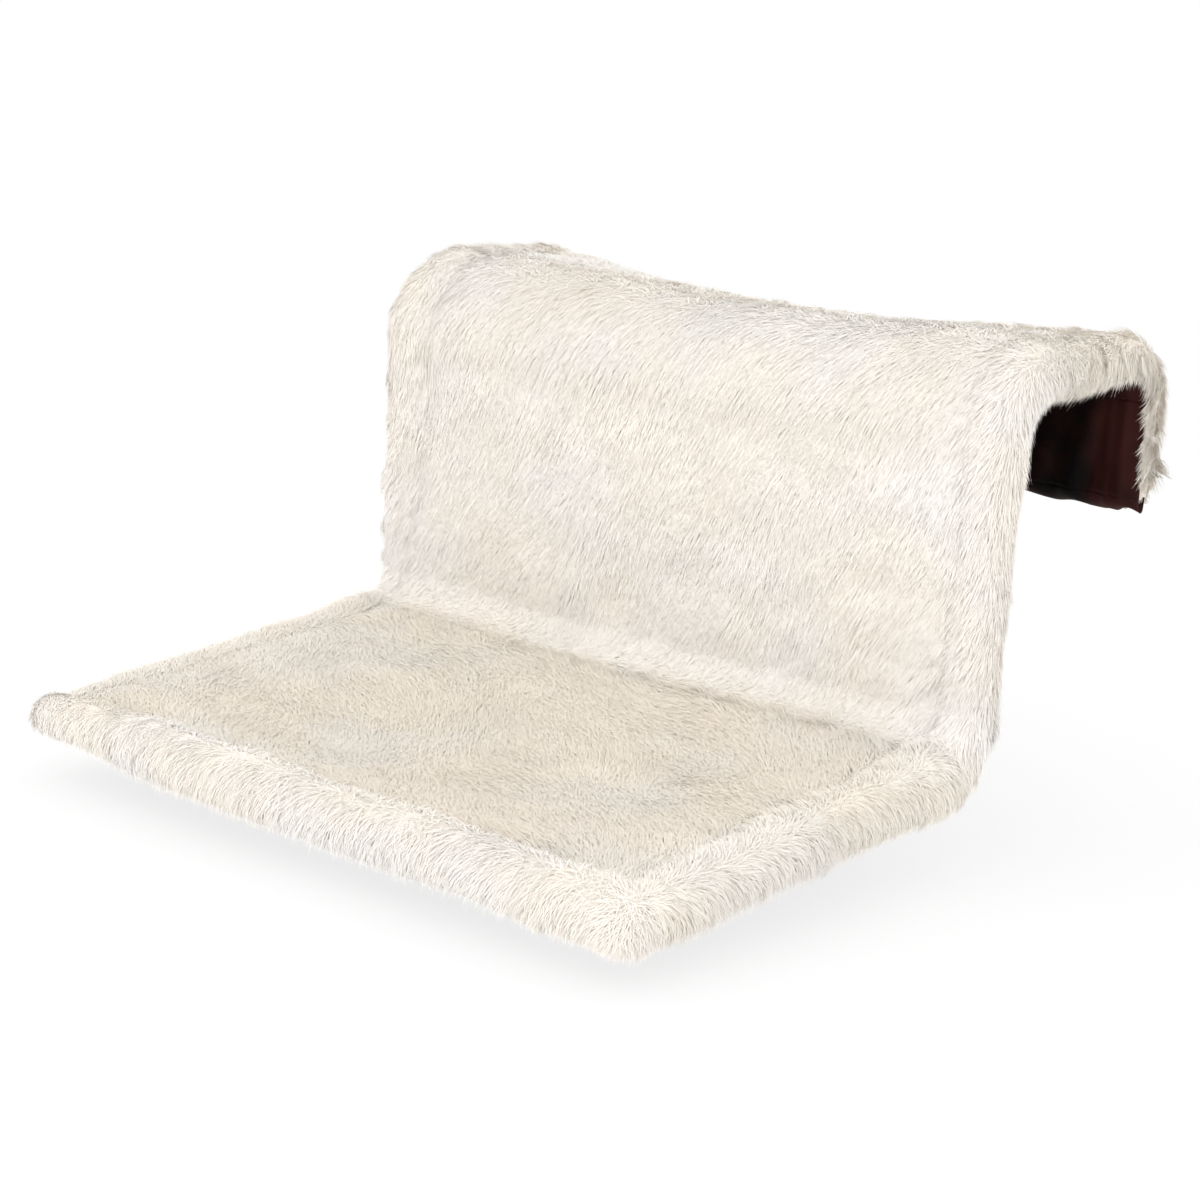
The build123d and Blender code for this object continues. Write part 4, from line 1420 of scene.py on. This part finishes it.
def add_camera(setup):
    """Camera at the photograph's angle."""
    side, rise = setup.azimuth, setup.elevation
    back = Vector((sin(side) * cos(rise), -cos(side) * cos(rise), sin(rise)))
    level = Vector((cos(side), sin(side), 0))
    upright = back.cross(level)
    right = level * cos(setup.roll) + upright * sin(setup.roll)
    up = upright * cos(setup.roll) - level * sin(setup.roll)
    data = bpy.data.cameras.new("camera")
    data.lens = setup.lens
    data.sensor_width = 36
    camera = bpy.data.objects.new("camera", data)
    bpy.context.scene.collection.objects.link(camera)
    turn = Matrix((right, up, back)).transposed()
    camera.matrix_world = Matrix.Translation(Vector(setup.target) + back * setup.distance) @ turn.to_4x4()
    bpy.context.scene.camera = camera


def add_key_light(setup):
    """Soft light from the front that faces the bed."""
    data = bpy.data.lights.new("key_light", "AREA")
    data.shape = "DISK"
    data.size = key_size
    data.energy = setup.key_power
    light = bpy.data.objects.new("key_light", data)
    bpy.context.scene.collection.objects.link(light)
    light.location = key_place
    light.rotation_mode = "QUATERNION"
    light.rotation_quaternion = (Vector(key_target) - Vector(key_place)).to_track_quat("-Z", "Y")


def mirror_or_camera(tree):
    """Socket that is 1 for rays from the camera and for reflections."""
    rays = add_node(tree, "LightPath").outputs
    return combine(tree, "Math", "MAXIMUM", rays["Is Camera Ray"], rays["Is Glossy Ray"])


def add_world(setup):
    """White surroundings that light the bed softly."""
    world = bpy.data.worlds.new("surroundings")
    bpy.context.scene.world = world
    world.use_nodes = True
    tree = world.node_tree
    shown = blend_colours(tree, mirror_or_camera(tree), (setup.ambient,) * 3, (1, 1, 1))
    tree.links.new(shown, tree.nodes["Background"].inputs["Color"])


def add_floor(setup):
    """Wide pale floor under the bed that shows as white and keeps the bed's shadow."""
    level = frame_box[0].z - floor_drop
    points = [(x * floor_half, y * floor_half, level) for x, y in ((-1, -1), (1, -1), (1, 1), (-1, 1))]
    mesh = mesh_of("floor", points, [(0, 1, 2, 3)])
    floor = bpy.data.objects.new("floor", mesh)
    bpy.context.scene.collection.objects.link(floor)
    material, tree, shader = new_material("pale_floor", floor_grey, 0.9)
    white = add_node(tree, "Emission", Strength=1.0)
    distance = add_node(tree, "VectorMath")
    distance.operation = "LENGTH"
    tree.links.new(place_of(tree), distance.inputs[0])
    shown = add_node(tree, "MapRange")
    shown.inputs["To Min"].default_value = 1 - setup.floor_shadow
    tree.links.new(ramp_of(tree, distance.outputs["Value"], shadow_end, white_start), shown.inputs["Value"])
    fade = combine(tree, "Math", "MULTIPLY", mirror_or_camera(tree), shown.outputs["Result"])
    mix = tree.nodes.new("ShaderNodeMixShader")
    tree.links.new(fade, mix.inputs["Fac"])
    tree.links.new(shader.outputs["BSDF"], mix.inputs[1])
    tree.links.new(white.outputs["Emission"], mix.inputs[2])
    tree.links.new(mix.outputs["Shader"], tree.nodes["Material Output"].inputs["Surface"])
    mesh.materials.append(material)


class CatBedStage(bpy.types.Operator):
    """Set up camera, lights and floor"""

    bl_idname = "object.cat_bed_stage"
    bl_label = "Stage"

    def execute(self, context):
        setup = context.scene.stage_setup
        add_camera(setup)
        add_world(setup)
        add_floor(setup)
        add_key_light(setup)
        context.scene.view_settings.view_transform = "Standard"
        return {"FINISHED"}


steps = (
    CatBedStage, CatBedPlushCover, CatBedFrontRoll, CatBedPile, CatBedLining, CatBedStitches, CatBedZip,
    CatBedPadding, CatBedFrame,
)
groups = {
    "cover_sizes": CoverSizes,
    "pile_look": PileLook,
    "bed_colours": BedColours,
    "stage_setup": StageSetup,
}


class CatBedPanel(bpy.types.Panel):
    """Lists the settings of the cat bed and the steps that dress it."""

    bl_idname = "VIEW3D_PT_cat_bed"
    bl_label = "Cat bed"
    bl_space_type = "VIEW_3D"
    bl_region_type = "UI"
    bl_category = "Cat bed"

    def draw(self, context):
        for name, group in groups.items():
            box = self.layout.box()
            for setting in group.__annotations__:
                box.prop(getattr(context.scene, name), setting)
        for step in steps:
            self.layout.operator(step.bl_idname)


def register():
    """Registers the settings, the steps and the panel."""
    for name, group in groups.items():
        bpy.utils.register_class(group)
        setattr(bpy.types.Scene, name, PointerProperty(type=group))
    for step in (*steps, CatBedPanel):
        bpy.utils.register_class(step)


def unregister():
    """Removes what register added."""
    for step in reversed((*steps, CatBedPanel)):
        bpy.utils.unregister_class(step)
    for name, group in groups.items():
        delattr(bpy.types.Scene, name)
        bpy.utils.unregister_class(group)


def main():
    """Makes the stage and every piece."""
    register()
    bpy.ops.object.cat_bed_stage()
    bpy.ops.object.cat_bed_plush_cover()
    bpy.ops.object.cat_bed_front_roll()
    bpy.ops.object.cat_bed_pile()
    bpy.ops.object.cat_bed_lining()
    bpy.ops.object.cat_bed_stitches()
    bpy.ops.object.cat_bed_zip()
    bpy.ops.object.cat_bed_padding()
    bpy.ops.object.cat_bed_frame()
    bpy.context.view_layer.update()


if __name__ == "__main__":
    main()
